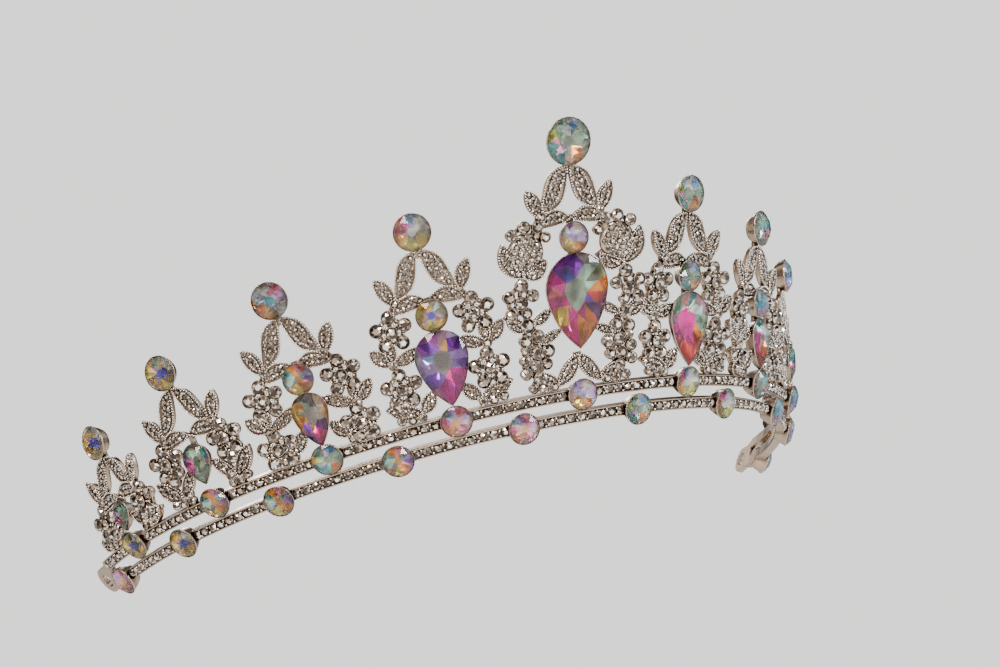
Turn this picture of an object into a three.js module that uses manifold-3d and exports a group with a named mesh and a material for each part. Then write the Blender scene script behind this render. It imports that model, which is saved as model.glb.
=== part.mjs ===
// A rhinestone tiara: two leaned rails bent to one arc, nine openwork panels standing on the
// upper rail, and the large cut stones that the rails and panels carry.
// Millimetres, +Z up, front towards -Y, mirrored about the plane X = 0.
import * as THREE from 'three';
import { ConvexGeometry } from 'three/addons/geometries/ConvexGeometry.js';
import { mergeVertices } from 'three/addons/utils/BufferGeometryUtils.js';
import Module from 'manifold-3d';

const wasm = await Module();
wasm.setup();

// ---- driving dimensions ----------------------------------------------------------------------

const RING_RADIUS = 77.5; // from the arc's centre to the upper rail's stones
const PITCH_ANGLE = THREE.MathUtils.degToRad(18.8); // from one panel to the next
const RAIL_LEAN = THREE.MathUtils.degToRad(30); // outward lean of both rails
const RAIL_PITCH = 4.5; // between the rails' centre lines, along the lean
const RAIL_HEIGHT = 2.3;
const RAIL_BACK = -2.65; // depths are measured outwards from the stones' girdles
const RAIL_FRONT = -0.9;
const RAIL_END_ANGLE = THREE.MathUtils.degToRad(87.4);
const RAIL_STEPS = 48;

const PANEL_COUNT_PER_SIDE = 4;
const PANEL_BACK = -2.2;
const PANEL_FRONT = -0.6;
const SEAM = 0.3; // clearance between neighbouring pieces

const BAND_STONE_RADIUS = 3.0;
const CUP_SHARE = 0.93; // a cup's radius over its stone's
const CUP_FRONT = -0.75;
const STONE_BACK = CUP_FRONT + SEAM;
const GIRDLE = 0.25; // height of a stone's widest edge
const STONE_RISE = 0.4; // table height over radius
const TABLE_SHARE = 0.55; // table width over stone width
const BASE_SHARE = 0.85; // back width over stone width
const ROUND_SIDES = 8;
const DROP_STEPS = 4; // straight edges along each curve of a drop

const LEAF_STEPS = 3; // straight edges along each side of a leaf
const LEAF_WIDTH = 2.4;
const DISC_SIDES = 6;
const PETALS = 5;
const FLOWER_RADIUS = 2.9; // mean radius of a flower's lobed edge
const PETAL_DEPTH = 0.7; // how far the edge swings in and out
const FLOWER_STEPS = 20;

const LOOP_OUTER = 2.9; // the hair-grip loop at each end
const LOOP_INNER = 1.5;
const LOOP_REACH = 5.4;
const TERMINAL_BACK = -2.4;
const TERMINAL_FRONT = -1.2;
const TERMINAL_WIDTH = 2.4;

// From the centre outwards. Heights run up the lean from the upper rail's centre line:
// top is the top stone's centre, shoulder is where a panel's leaves meet at each side, fork is
// where the two leaves beside the drop stone join, and drop is [radius, head, point].
const PANELS = [
  {
    lean: 28.7, top: 48.4, topRadius: 4.5, crestLeaf: 4.2, shoulder: 34.3,
    bud: 30.2, drop: [6.5, 27.3, 9.1],
  },
  {
    lean: 23.9, top: 36.6, topRadius: 3.5, crestLeaf: 3.6, shoulder: 23.8,
    bud: 20.6, fork: 13.4, drop: [5.0, 17.6, 3.3],
  },
  {
    lean: 19.0, top: 31.7, topRadius: 3.5, crestLeaf: 3.5, shoulder: 18.8,
    bud: 16.1, fork: 8.7, drop: [3.5, 13.2, 2.9],
  },
  {
    lean: 14.2, top: 26.9, topRadius: 3.4, crestLeaf: 3.2, shoulder: 14.4,
    drop: [3.0, 12.1, 4.1],
  },
  {
    lean: 9.3, top: 21.9, topRadius: 3.4, crestLeaf: 3.0, shoulder: 10.6,
    drop: [2.5, 9.3, 3.3],
  },
];

// ---- finishes --------------------------------------------------------------------------------

const FINISHES = {
  silver: new THREE.MeshStandardMaterial({ color: 0xcfc8c0, roughness: 0.25, metalness: 1 }),
  aurora: new THREE.MeshStandardMaterial({ color: 0x9fb8b0, roughness: 0.08, metalness: 0.5 }),
  violet: new THREE.MeshStandardMaterial({ color: 0x6a3f86, roughness: 0.08, metalness: 0.5 }),
};

// ---- solids ----------------------------------------------------------------------------------

/** A closed three.js geometry as a solid that can be joined and cut. */
function solid(geometry) {
  const bare = geometry.clone();
  bare.deleteAttribute('normal');
  bare.deleteAttribute('uv');
  const merged = mergeVertices(bare, 1e-4);
  const mesh = new wasm.Mesh({
    numProp: 3,
    vertProperties: new Float32Array(merged.attributes.position.array),
    triVerts: new Uint32Array(merged.index.array),
  });
  return new wasm.Manifold(mesh);
}

/** A solid back as a three.js geometry. */
function geometryOf(body) {
  const mesh = body.getMesh();
  const geometry = new THREE.BufferGeometry();
  geometry.setAttribute('position', new THREE.BufferAttribute(new Float32Array(mesh.vertProperties), 3));
  geometry.setIndex(new THREE.BufferAttribute(new Uint32Array(mesh.triVerts), 1));
  geometry.computeVertexNormals();
  return geometry;
}

/** All of the solids joined into one. */
function join(solids) {
  return solids.reduce((whole, piece) => whole.add(piece));
}

/** A flat outline given thickness between two depths. */
function slab(shape, back, front, curveSegments = LEAF_STEPS) {
  const depth = front - back;
  const geometry = new THREE.ExtrudeGeometry(shape, { depth, bevelEnabled: false, curveSegments });
  geometry.translate(0, 0, back);
  return solid(geometry);
}

/** A round cup or petal: a short cylinder that faces outwards. */
function disc(x, y, radius, back = PANEL_BACK, front = PANEL_FRONT, sides = DISC_SIDES) {
  const geometry = new THREE.CylinderGeometry(radius, radius, front - back, sides);
  geometry.rotateX(Math.PI / 2);
  geometry.translate(x, y, (front + back) / 2);
  return solid(geometry);
}

/** A pointed leaf from one tip to the other. */
function leaf([x0, y0], [x1, y1], width = LEAF_WIDTH) {
  const length = Math.hypot(x1 - x0, y1 - y0);
  const middle = [(x0 + x1) / 2, (y0 + y1) / 2];
  const across = [(-(y1 - y0) / length) * width, ((x1 - x0) / length) * width];
  const shape = new THREE.Shape();
  shape.moveTo(x0, y0);
  shape.quadraticCurveTo(middle[0] + across[0], middle[1] + across[1], x1, y1);
  shape.quadraticCurveTo(middle[0] - across[0], middle[1] - across[1], x0, y0);
  return slab(shape, PANEL_BACK, PANEL_FRONT);
}

/** A straight bar from one point to another. */
function bar([x0, y0], [x1, y1], width) {
  const length = Math.hypot(x1 - x0, y1 - y0);
  const across = [(-(y1 - y0) / length) * (width / 2), ((x1 - x0) / length) * (width / 2)];
  const shape = new THREE.Shape([
    new THREE.Vector2(x0 + across[0], y0 + across[1]),
    new THREE.Vector2(x0 - across[0], y0 - across[1]),
    new THREE.Vector2(x1 - across[0], y1 - across[1]),
    new THREE.Vector2(x1 + across[0], y1 + across[1]),
  ]);
  return slab(shape, PANEL_BACK, PANEL_FRONT);
}

/** An upright block between two corners. */
function block([x0, y0, z0], [x1, y1, z1]) {
  const geometry = new THREE.BoxGeometry(x1 - x0, y1 - y0, z1 - z0);
  geometry.translate((x0 + x1) / 2, (y0 + y1) / 2, (z0 + z1) / 2);
  return solid(geometry);
}

/** A drop's outline: a round head that narrows to a point below. */
function dropShape(radius, head, point) {
  const middle = head - radius;
  const shoulder = Math.PI * 0.08;
  const x = radius * Math.cos(shoulder);
  const y = middle - radius * Math.sin(shoulder);
  const shape = new THREE.Shape();
  shape.moveTo(0, point);
  shape.quadraticCurveTo(x * 0.78, point + (y - point) * 0.38, x, y);
  shape.absarc(0, middle, radius, -shoulder, Math.PI + shoulder, false);
  shape.quadraticCurveTo(-x * 0.78, point + (y - point) * 0.38, 0, point);
  return shape;
}

/** A round cut stone with a flat table and a flat back. */
function roundStone(radius) {
  const profile = [
    [0, STONE_BACK],
    [radius * BASE_SHARE, STONE_BACK],
    [radius, 0],
    [radius, GIRDLE],
    [radius * TABLE_SHARE, radius * STONE_RISE],
    [0, radius * STONE_RISE],
  ].map(([r, depth]) => new THREE.Vector2(r, depth));
  const geometry = new THREE.LatheGeometry(profile, ROUND_SIDES);
  geometry.rotateX(Math.PI / 2);
  return solid(geometry);
}

/** A drop-shaped cut stone: its outline at the back, at the girdle and round its table. */
function dropStone([radius, head, point]) {
  const outline = dropShape(radius, head, point).getPoints(DROP_STEPS);
  const middle = (head + point) / 2;
  const rise = radius * STONE_RISE;
  const levels = [[BASE_SHARE, STONE_BACK], [1, 0], [1, GIRDLE], [TABLE_SHARE, rise]];
  const corners = levels.flatMap(([share, depth]) =>
    outline.map(({ x, y }) => new THREE.Vector3(x * share, middle + (y - middle) * share, depth)),
  );
  return solid(new ConvexGeometry(corners));
}

// ---- motifs of a panel -----------------------------------------------------------------------

/** A place just inside the edge of a drop's cup, at an angle round its head. */
function dropEdge(side, [radius, head], degrees) {
  const angle = THREE.MathUtils.degToRad(degrees);
  const reach = radius * CUP_SHARE - SEAM;
  return [side * reach * Math.cos(angle), head - radius + reach * Math.sin(angle)];
}

/** A flower: a lobed plate with one lobe for each petal. */
function flower(side, x, y) {
  const edge = Array.from({ length: FLOWER_STEPS }, (_, i) => {
    const angle = (i / FLOWER_STEPS) * Math.PI * 2;
    const reach = FLOWER_RADIUS - PETAL_DEPTH * Math.cos(PETALS * angle);
    return new THREE.Vector2(side * (x + reach * Math.sin(angle)), y - reach * Math.cos(angle));
  });
  return slab(new THREE.Shape(edge), PANEL_BACK, PANEL_FRONT);
}

/** Stone-set discs at a list of places, each [x, y, radius]. */
function cluster(side, places) {
  return places.map(([x, y, radius]) => disc(side * x, y, radius));
}

/** The crest that every panel shares: a neck, two falling leaves, a side leaf and an arch leaf. */
function crest(side, panel) {
  const { top, topRadius, shoulder, crestLeaf } = panel;
  const peak = top - topRadius - 0.7;
  return [
    leaf([side * 0.3, peak + 0.5], [side * 5.9, shoulder + 1.2], crestLeaf),
    leaf([side * 6.5, shoulder], [side * 9.1, shoulder + 5.8], 2.6),
    leaf([side * 6.6, shoulder - 0.2], [side * -0.3, shoulder + 0.6], 2.7),
    disc(side * 6.1, shoulder + 0.5, 1.3),
  ];
}

/** The side of the centre panel: a lotus, two flowers below it and the leaves over the rail. */
function centreSide(side, { drop }) {
  return [
    ...cluster(side, [[9.7, 28.6, 3.3], [12.0, 31.0, 1.5], [9.4, 32.6, 1.5], [6.6, 32.4, 1.5]]),
    ...cluster(side, [[6.4, 28.8, 1.5], [10.3, 26.3, 2.3], [11.1, 22.3, 1.6]]),
    leaf([side * 14.6, 30.8], [side * 10.6, 23.2], 3.8),
    leaf([side * 5.4, 26.6], [side * 11.0, 23.8], 3.0),
    ...cluster(side, [[11.4, 19.0, 2.0], [13.9, 20.4, 1.3], [8.9, 20.2, 1.3], [13.4, 17.2, 1.3]]),
    ...cluster(side, [[10.4, 17.2, 1.4], [10.4, 14.6, 1.7], [11.0, 11.6, 1.5], [8.5, 12.2, 1.5]]),
    ...cluster(side, [[6.5, 9.3, 1.4], [8.9, 9.6, 1.7], [9.0, 6.6, 1.9], [11.0, 7.4, 1.3]]),
    ...cluster(side, [[7.0, 7.0, 1.3], [10.6, 5.0, 1.3], [8.0, 4.2, 1.3]]),
    leaf([side * 14.5, 16.8], [side * 10.4, 13.4]),
    leaf(dropEdge(side, drop, -34), [side * 9.6, 14.2], 1.8),
    leaf([side * 2.6, 13.2], [side * 9.0, 10.6], 1.6),
    leaf([side * -0.2, 8.1], [side * 4.6, 2.0], 2.7),
    leaf([side * 4.0, 2.4], [side * 9.8, 5.0]),
  ];
}

/** The side of a tall panel: flower, link, forked leaves, flower and the leaves over the rail. */
function tallSide(side, { shoulder, fork, drop }) {
  const lower = Math.max(fork - 4.6, 5.2);
  return [
    flower(side, 7.9, shoulder - 3.4),
    leaf([side * 8.8, shoulder - 4.4], [side * 9.3, fork - 0.4], 2.2),
    leaf([side * 12.9, fork + 3.4], [side * 8.4, fork - 0.6]),
    leaf(dropEdge(side, drop, 38), [side * 9.6, fork - 0.6]),
    disc(side * 9.1, fork - 0.3, 1.3),
    flower(side, 8.5, lower),
    leaf([side * 8.6, lower - 0.8], [side * 6.6, 1.6], 2.2),
    leaf([side * 2.7, 6.4], [side * 7.2, 1.4]),
    leaf([side * 5.4, 1.9], [side * 12.0, 4.6]),
  ];
}

/** The side of a low panel: one flower, with a cup leaf below it that opens outwards. */
function lowSide(side, { shoulder, drop }) {
  const bloom = shoulder - 3.2;
  return [
    flower(side, 7.4, bloom),
    ...cluster(side, [[7.4, (bloom + 2.6) / 2, 1.7], [5.7, 3.3, 1.4]]),
    leaf([side * 11.9, bloom - 3.2], [side * 6.0, 2.4], 3.0),
    leaf(dropEdge(side, drop, -20), [side * 7.6, 2.4]),
  ];
}

const SIDES = [centreSide, tallSide, tallSide, lowSide, lowSide];

/** One openwork panel with its cups, standing clear of the rail and of the stone below it. */
function panelBody(panel, rank) {
  const { lean, top, topRadius, shoulder, bud, drop } = panel;
  const [radius, head, point] = drop;
  const turn = RAIL_LEAN - THREE.MathUtils.degToRad(lean);
  const foot = (RAIL_HEIGHT / 2 + SEAM - PANEL_BACK * Math.sin(turn)) / Math.cos(turn);
  const inset = radius * (1 - CUP_SHARE);
  const pieces = [
    disc(0, top, topRadius * CUP_SHARE, PANEL_BACK, CUP_FRONT, ROUND_SIDES),
    slab(dropShape(radius - inset, head - inset, point + inset * 2), PANEL_BACK, CUP_FRONT, DROP_STEPS),
    bar([0, top - topRadius * 0.6], [0, top - topRadius - 2], 1.8),
    bar([0, shoulder + 0.9], [0, head - 1], 1.6),
  ];
  if (bud) pieces.push(disc(0, bud, BAND_STONE_RADIUS * CUP_SHARE, PANEL_BACK, CUP_FRONT, ROUND_SIDES));
  for (const side of [-1, 1]) {
    pieces.push(...crest(side, panel), ...SIDES[rank](side, panel));
    pieces.push(block([side * 6.6 - 1.6, 0, PANEL_BACK], [side * 6.6 + 1.6, 3.2, PANEL_FRONT]));
  }
  const below = block([-30, -10, -10], [30, foot, 10]);
  const stoneRoom = disc(0, 0, BAND_STONE_RADIUS + SEAM, -10, 10, ROUND_SIDES);
  return join(pieces).subtract(below).subtract(stoneRoom);
}

// ---- rails and terminals ---------------------------------------------------------------------

/** The arc that a rail follows, from the left end round the front to the right end. */
class RailArc extends THREE.Curve {
  getPoint(t, target = new THREE.Vector3()) {
    const angle = RAIL_END_ANGLE * (2 * t - 1);
    return target.set(RING_RADIUS * Math.sin(angle), -RING_RADIUS * Math.cos(angle), 0);
  }
}

/** A point of a rail's section, from its height up the lean and its depth. */
function sectionPoint(height, depth) {
  const outward = height * Math.sin(RAIL_LEAN) + depth * Math.cos(RAIL_LEAN);
  const upward = height * Math.cos(RAIL_LEAN) - depth * Math.sin(RAIL_LEAN);
  return new THREE.Vector2(-upward, -outward);
}

/** A place on the rails: a turn round the arc, then the lean, with +Y up it and +Z outwards. */
function seat(angle, lean) {
  const place = new THREE.Group();
  place.rotation.z = angle;
  const plane = new THREE.Group();
  plane.position.set(0, -RING_RADIUS, 0);
  plane.rotation.x = Math.PI / 2 + lean;
  place.add(plane);
  return { place, plane };
}

/** One rail with a cup for each of its stones. */
function railBody(height, angles) {
  const low = height - RAIL_HEIGHT / 2;
  const high = height + RAIL_HEIGHT / 2;
  const section = new THREE.Shape([
    sectionPoint(low, RAIL_BACK),
    sectionPoint(high, RAIL_BACK),
    sectionPoint(high, RAIL_FRONT),
    sectionPoint(low, RAIL_FRONT),
  ]);
  const bent = new THREE.ExtrudeGeometry(section, { steps: RAIL_STEPS, extrudePath: new RailArc() });
  const cups = angles.map((angle) => {
    const { place, plane } = seat(angle, RAIL_LEAN);
    place.updateMatrixWorld(true);
    const cup = new THREE.CylinderGeometry(
      BAND_STONE_RADIUS * CUP_SHARE,
      BAND_STONE_RADIUS * CUP_SHARE,
      CUP_FRONT - RAIL_BACK,
      ROUND_SIDES,
    );
    cup.rotateX(Math.PI / 2);
    cup.translate(0, height, (CUP_FRONT + RAIL_BACK) / 2);
    cup.applyMatrix4(plane.matrixWorld);
    return solid(cup);
  });
  return join([solid(bent), ...cups]);
}

/** The plate that closes a rail end, with its loop for a hair grip; side is -1 left or 1 right. */
function terminalBody(side) {
  const middle = -RAIL_PITCH / 2;
  const tall = RAIL_PITCH + RAIL_HEIGHT;
  const shape = new THREE.Shape();
  shape.moveTo(SEAM, middle - tall / 2);
  shape.lineTo(SEAM + TERMINAL_WIDTH, middle - tall / 2 + 0.8);
  shape.absarc(LOOP_REACH, middle, LOOP_OUTER, -Math.PI * 0.6, Math.PI * 0.6, false);
  shape.lineTo(SEAM + TERMINAL_WIDTH, middle + tall / 2 - 0.8);
  shape.lineTo(SEAM, middle + tall / 2);
  const hole = new THREE.Path();
  hole.absarc(LOOP_REACH, middle, LOOP_INNER, 0, Math.PI * 2, true);
  shape.holes.push(hole);
  const geometry = new THREE.ExtrudeGeometry(shape, {
    depth: TERMINAL_FRONT - TERMINAL_BACK,
    bevelEnabled: false,
    curveSegments: 8,
  });
  geometry.translate(0, 0, TERMINAL_BACK);
  if (side < 0) geometry.rotateY(Math.PI).translate(0, 0, TERMINAL_BACK + TERMINAL_FRONT);
  return solid(geometry);
}

// ---- assembly --------------------------------------------------------------------------------

const tiara = new THREE.Group();

/** Adds a named piece to the tiara, or to a seat of it. */
function add(name, body, finish, parent = tiara) {
  const mesh = new THREE.Mesh(geometryOf(body), FINISHES[finish]);
  mesh.name = name;
  parent.add(mesh);
  return mesh;
}

/** The name of the panel or stone that stands rank places from the centre. */
function placeName(rank) {
  if (rank === 0) return 'center';
  return `${rank < 0 ? 'left' : 'right'}_${Math.abs(rank)}`;
}

/** Puts a stone on a seat at a height up its lean. */
function addStone(name, body, plane, height, finish = 'aurora') {
  add(name, body, finish, plane).position.y = height;
}

const ranks = Array.from({ length: 2 * PANEL_COUNT_PER_SIDE + 1 }, (_, i) => i - PANEL_COUNT_PER_SIDE);
const betweens = Array.from({ length: ranks.length + 1 }, (_, i) => i - ranks.length / 2);

add('upper_rail', railBody(0, ranks.map((rank) => rank * PITCH_ANGLE)), 'silver');
add('lower_rail', railBody(-RAIL_PITCH, betweens.map((rank) => rank * PITCH_ANGLE)), 'silver');

for (const rank of ranks) {
  const panel = PANELS[Math.abs(rank)];
  const name = placeName(rank);
  const { place, plane } = seat(rank * PITCH_ANGLE, THREE.MathUtils.degToRad(panel.lean));
  tiara.add(place);
  add(`panel_${name}`, panelBody(panel, Math.abs(rank)), 'silver', plane);
  addStone(`top_stone_${name}`, roundStone(panel.topRadius), plane, panel.top);
  addStone(`drop_stone_${name}`, dropStone(panel.drop), plane, 0, 'violet');
  if (panel.bud) addStone(`bud_stone_${name}`, roundStone(BAND_STONE_RADIUS), plane, panel.bud);

  const band = seat(rank * PITCH_ANGLE, RAIL_LEAN);
  tiara.add(band.place);
  addStone(`upper_band_stone_${name}`, roundStone(BAND_STONE_RADIUS), band.plane, 0);
}

betweens.forEach((rank, i) => {
  const { place, plane } = seat(rank * PITCH_ANGLE, RAIL_LEAN);
  tiara.add(place);
  addStone(`lower_band_stone_${i + 1}`, roundStone(BAND_STONE_RADIUS), plane, -RAIL_PITCH);
});

for (const side of [-1, 1]) {
  const { place, plane } = seat(side * RAIL_END_ANGLE, RAIL_LEAN);
  tiara.add(place);
  add(`end_terminal_${side < 0 ? 'left' : 'right'}`, terminalBody(side), 'silver', plane);
}

// The origin is under the middle of the whole tiara, on the surface it stands on.
tiara.updateMatrixWorld(true);
const extent = new THREE.Box3().setFromObject(tiara, true);
tiara.position.set(0, -(extent.min.y + extent.max.y) / 2, -extent.min.z);

export default tiara;
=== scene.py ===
"""The looks of a rhinestone tiara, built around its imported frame.

The tiara is two leaned rails bent to one arc, nine openwork panels standing on the upper rail and
the large iridescent stones that they carry. Local sizes are millimetres on a seat: +X runs along
the arc, +Y up the lean and +Z outwards. A seat's matrix takes them to the frame, in metres.
"""

from __future__ import annotations

import logging
import math
import random
from collections.abc import Callable
from dataclasses import dataclass, field
from enum import Enum

import bmesh
import bpy
from mathutils import Matrix, Quaternion, Vector

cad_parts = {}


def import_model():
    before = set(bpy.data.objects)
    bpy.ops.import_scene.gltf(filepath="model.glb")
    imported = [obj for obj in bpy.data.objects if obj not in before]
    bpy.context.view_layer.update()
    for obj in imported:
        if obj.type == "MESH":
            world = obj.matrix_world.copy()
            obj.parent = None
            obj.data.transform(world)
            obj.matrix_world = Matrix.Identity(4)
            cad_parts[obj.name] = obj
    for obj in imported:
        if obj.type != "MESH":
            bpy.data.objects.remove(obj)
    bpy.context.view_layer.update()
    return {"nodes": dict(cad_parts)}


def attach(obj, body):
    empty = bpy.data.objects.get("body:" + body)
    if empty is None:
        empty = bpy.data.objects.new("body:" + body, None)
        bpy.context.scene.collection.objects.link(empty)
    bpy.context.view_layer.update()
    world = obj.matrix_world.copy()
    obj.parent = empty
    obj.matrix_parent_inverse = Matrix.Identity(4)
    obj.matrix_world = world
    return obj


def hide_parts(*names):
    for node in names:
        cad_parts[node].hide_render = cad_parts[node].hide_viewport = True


log = logging.getLogger("tiara")

MM = 0.001
SIDES = (-1, 1)

Point = tuple[float, float]
Spot = tuple[float, float, float]
Colour = tuple[float, float, float]


# ---- sizes ---------------------------------------------------------------------------------------


@dataclass(frozen=True)
class Drop:
    """A drop stone on a panel: the radius of its head, and the heights of its head and point."""

    radius: float
    head: float
    point: float


@dataclass(frozen=True)
class PanelSizes:
    """What differs from one panel to the next, with heights up the lean from the upper rail."""

    lean: float
    top: float
    top_radius: float
    crest_leaf: float
    shoulder: float
    drop: Drop
    bud: float | None = None
    fork: float | None = None


PANELS = (
    PanelSizes(28.7, 48.4, 4.5, 4.2, 34.3, Drop(6.5, 27.3, 9.1), bud=30.2),
    PanelSizes(23.9, 36.6, 3.5, 3.6, 23.8, Drop(5.0, 17.6, 3.3), bud=20.6, fork=13.4),
    PanelSizes(19.0, 31.7, 3.5, 3.5, 18.8, Drop(3.5, 13.2, 2.9), bud=16.1, fork=8.7),
    PanelSizes(14.2, 26.9, 3.4, 3.2, 14.4, Drop(3.0, 12.1, 4.1)),
    PanelSizes(9.3, 21.9, 3.4, 3.0, 10.6, Drop(2.5, 9.3, 3.3)),
)


@dataclass
class Layout:
    """Where the tiara's seats are: the arc's sizes, and its centre as the frame gives it."""

    ring_radius: float = 77.5
    pitch_angle: float = math.radians(18.8)
    rail_lean: float = math.radians(30)
    rail_pitch: float = 4.5
    rail_end: float = math.radians(87.4)
    panels_per_side: int = 4
    centre: Vector = field(default_factory=Vector)

    def find_centre(self, nodes: dict[str, bpy.types.Object]) -> None:
        """Finds the arc's centre from three stones of the upper rail.

        Args:
            nodes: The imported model's objects by node name.
        """
        front = _centroid(nodes["upper_band_stone_center"])
        side = _centroid(nodes[f"upper_band_stone_right_{self.panels_per_side}"])
        across = side.x**2 + side.y**2 - front.y**2
        centre_y = across / (2 * (side.y - front.y))
        proud = (centre_y - front.y - self.ring_radius * MM) / math.cos(self.rail_lean)
        self.centre = Vector((0, centre_y, front.z + proud * math.sin(self.rail_lean)))

    def rail_seat(self, angle: float) -> Matrix:
        """A seat on the rails, at an angle round the arc."""
        return self.seat(angle, self.rail_lean)

    def seat(self, angle: float, lean: float) -> Matrix:
        """The matrix from a seat's millimetres to the frame.

        Args:
            angle: The turn round the arc from the front, positive to the right.
            lean: The seat's outward lean from the vertical.

        Returns:
            The seat's matrix.
        """
        turn = Matrix.Rotation(angle, 4, "Z")
        out = Matrix.Translation((0, -self.ring_radius * MM, 0))
        tip = Matrix.Rotation(math.pi / 2 + lean, 4, "X")
        return Matrix.Translation(self.centre) @ turn @ out @ tip @ Matrix.Scale(MM, 4)

    def ranks(self) -> list[int]:
        """The panels' places, from the left end to the right, with 0 at the centre."""
        return list(range(-self.panels_per_side, self.panels_per_side + 1))

    def betweens(self) -> list[float]:
        """The lower stones' places: one on each side of every panel."""
        ranks = self.ranks()
        return [rank - 0.5 for rank in ranks] + [ranks[-1] + 0.5]


def _centroid(node: bpy.types.Object) -> Vector:
    """The mean of a node's vertices."""
    points = [vertex.co for vertex in node.data.vertices]
    return sum(points, Vector()) / len(points)


def place_name(rank: int) -> str:
    """The word that the frame's nodes use for a place, such as left_2."""
    if rank == 0:
        return "center"
    return f"{'left' if rank < 0 else 'right'}_{abs(rank)}"


# ---- finishes ------------------------------------------------------------------------------------


class Slot(Enum):
    """The record's material slots."""

    SILVER = "silver_pave"
    CLEAR = "aurora_clear"
    VIOLET = "aurora_violet"


class NodeTree:
    """A small helper that adds and links a material's nodes."""

    def __init__(self, name: str) -> None:
        """Starts a material with an empty tree but for its output."""
        self.material = bpy.data.materials.new(name)
        self.material.use_nodes = True
        self.tree = self.material.node_tree
        self.tree.nodes.clear()
        self.output = self.tree.nodes.new("ShaderNodeOutputMaterial")

    def add(self, kind: str, **settings: object) -> bpy.types.Node:
        """Adds a node; settings are its properties, or its sockets' values by input name."""
        node = self.tree.nodes.new(kind)
        for key, value in settings.items():
            if hasattr(node, key):
                setattr(node, key, value)
            else:
                node.inputs[key.replace("_", " ")].default_value = value
        return node

    def link(self, source: bpy.types.NodeSocket, target: bpy.types.NodeSocket) -> None:
        """Links one socket to another."""
        self.tree.links.new(source, target)

    def ramp(
        self, source: bpy.types.NodeSocket, stops: list[tuple[float, Colour]]
    ) -> bpy.types.NodeSocket:
        """A colour ramp over a value.

        Args:
            source: The value that the ramp reads.
            stops: Each stop's place and linear colour.

        Returns:
            The ramp's colour.
        """
        node = self.tree.nodes.new("ShaderNodeValToRGB")
        elements = node.color_ramp.elements
        while len(elements) < len(stops):
            elements.new(0.5)
        for element, (place, colour) in zip(elements, stops):
            element.position = place
            element.color = (*colour, 1.0)
        self.link(source, node.inputs["Fac"])
        return node.outputs["Color"]

    def surface(self, shader: bpy.types.Node) -> bpy.types.Material:
        """Puts a shader on the output and returns the finished material."""
        self.link(shader.outputs[0], self.output.inputs["Surface"])
        return self.material


@dataclass(frozen=True)
class PlatedSilver:
    """Plated casting metal, bright on open surfaces, with painted shade: an occlusion mask makes it
    darker and browner towards its hollows, mixed with tone that differs at random.
    """

    name: str = "plated_silver"
    bright: Colour = (0.53, 0.412, 0.318)
    # The dark end: painted shade in the hollows, and the low end of the random tone.
    dull_and_shade: Colour = (0.035, 0.024, 0.017)
    smooth: float = 0.16
    rough: float = 0.38
    grain: float = 900.0
    bump: float = 0.18

    def build(self) -> bpy.types.Material:
        """Builds the material.

        Returns:
            The material.
        """
        tree = NodeTree(self.name)
        place = tree.add("ShaderNodeTexCoord").outputs["Object"]
        broad = tree.add("ShaderNodeTexNoise", Scale=260.0, Detail=3.0, Roughness=0.6)
        fine = tree.add("ShaderNodeTexNoise", Scale=self.grain, Detail=2.0, Roughness=0.5)
        tree.link(place, broad.inputs["Vector"])
        tree.link(place, fine.inputs["Vector"])
        # Painted shade: ambient occlusion darkens the colour in hollows and creases, blended with
        # random broad tone.
        occlusion_shade = tree.add("ShaderNodeAmbientOcclusion", samples=4, Distance=0.0009)
        blend = tree.add("ShaderNodeMath", operation="MULTIPLY_ADD")
        tree.link(broad.outputs["Fac"], blend.inputs[0])
        blend.inputs[1].default_value = 0.3
        tree.link(occlusion_shade.outputs["AO"], blend.inputs[2])
        painted_shade_and_tone = tree.add("ShaderNodeMapRange", From_Min=0.58, From_Max=1.15)
        tree.link(blend.outputs[0], painted_shade_and_tone.inputs["Value"])
        # The ramp paints the dark, brown shade colour where the occlusion mask is low.
        colour = tree.ramp(painted_shade_and_tone.outputs["Result"], [(0.0, self.dull_and_shade), (0.85, self.bright)])
        polish = tree.add("ShaderNodeMapRange", From_Min=0.3, From_Max=0.7)
        polish.inputs["To Min"].default_value = self.rough
        polish.inputs["To Max"].default_value = self.smooth
        tree.link(broad.outputs["Fac"], polish.inputs["Value"])
        bump = tree.add("ShaderNodeBump", Strength=self.bump, Distance=0.00005)
        tree.link(fine.outputs["Fac"], bump.inputs["Height"])
        metal = tree.add("ShaderNodeBsdfPrincipled", Metallic=1.0)
        tree.link(colour, metal.inputs["Base Color"])
        tree.link(polish.outputs["Result"], metal.inputs["Roughness"])
        tree.link(bump.outputs["Normal"], metal.inputs["Normal"])
        return tree.surface(metal)


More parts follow.
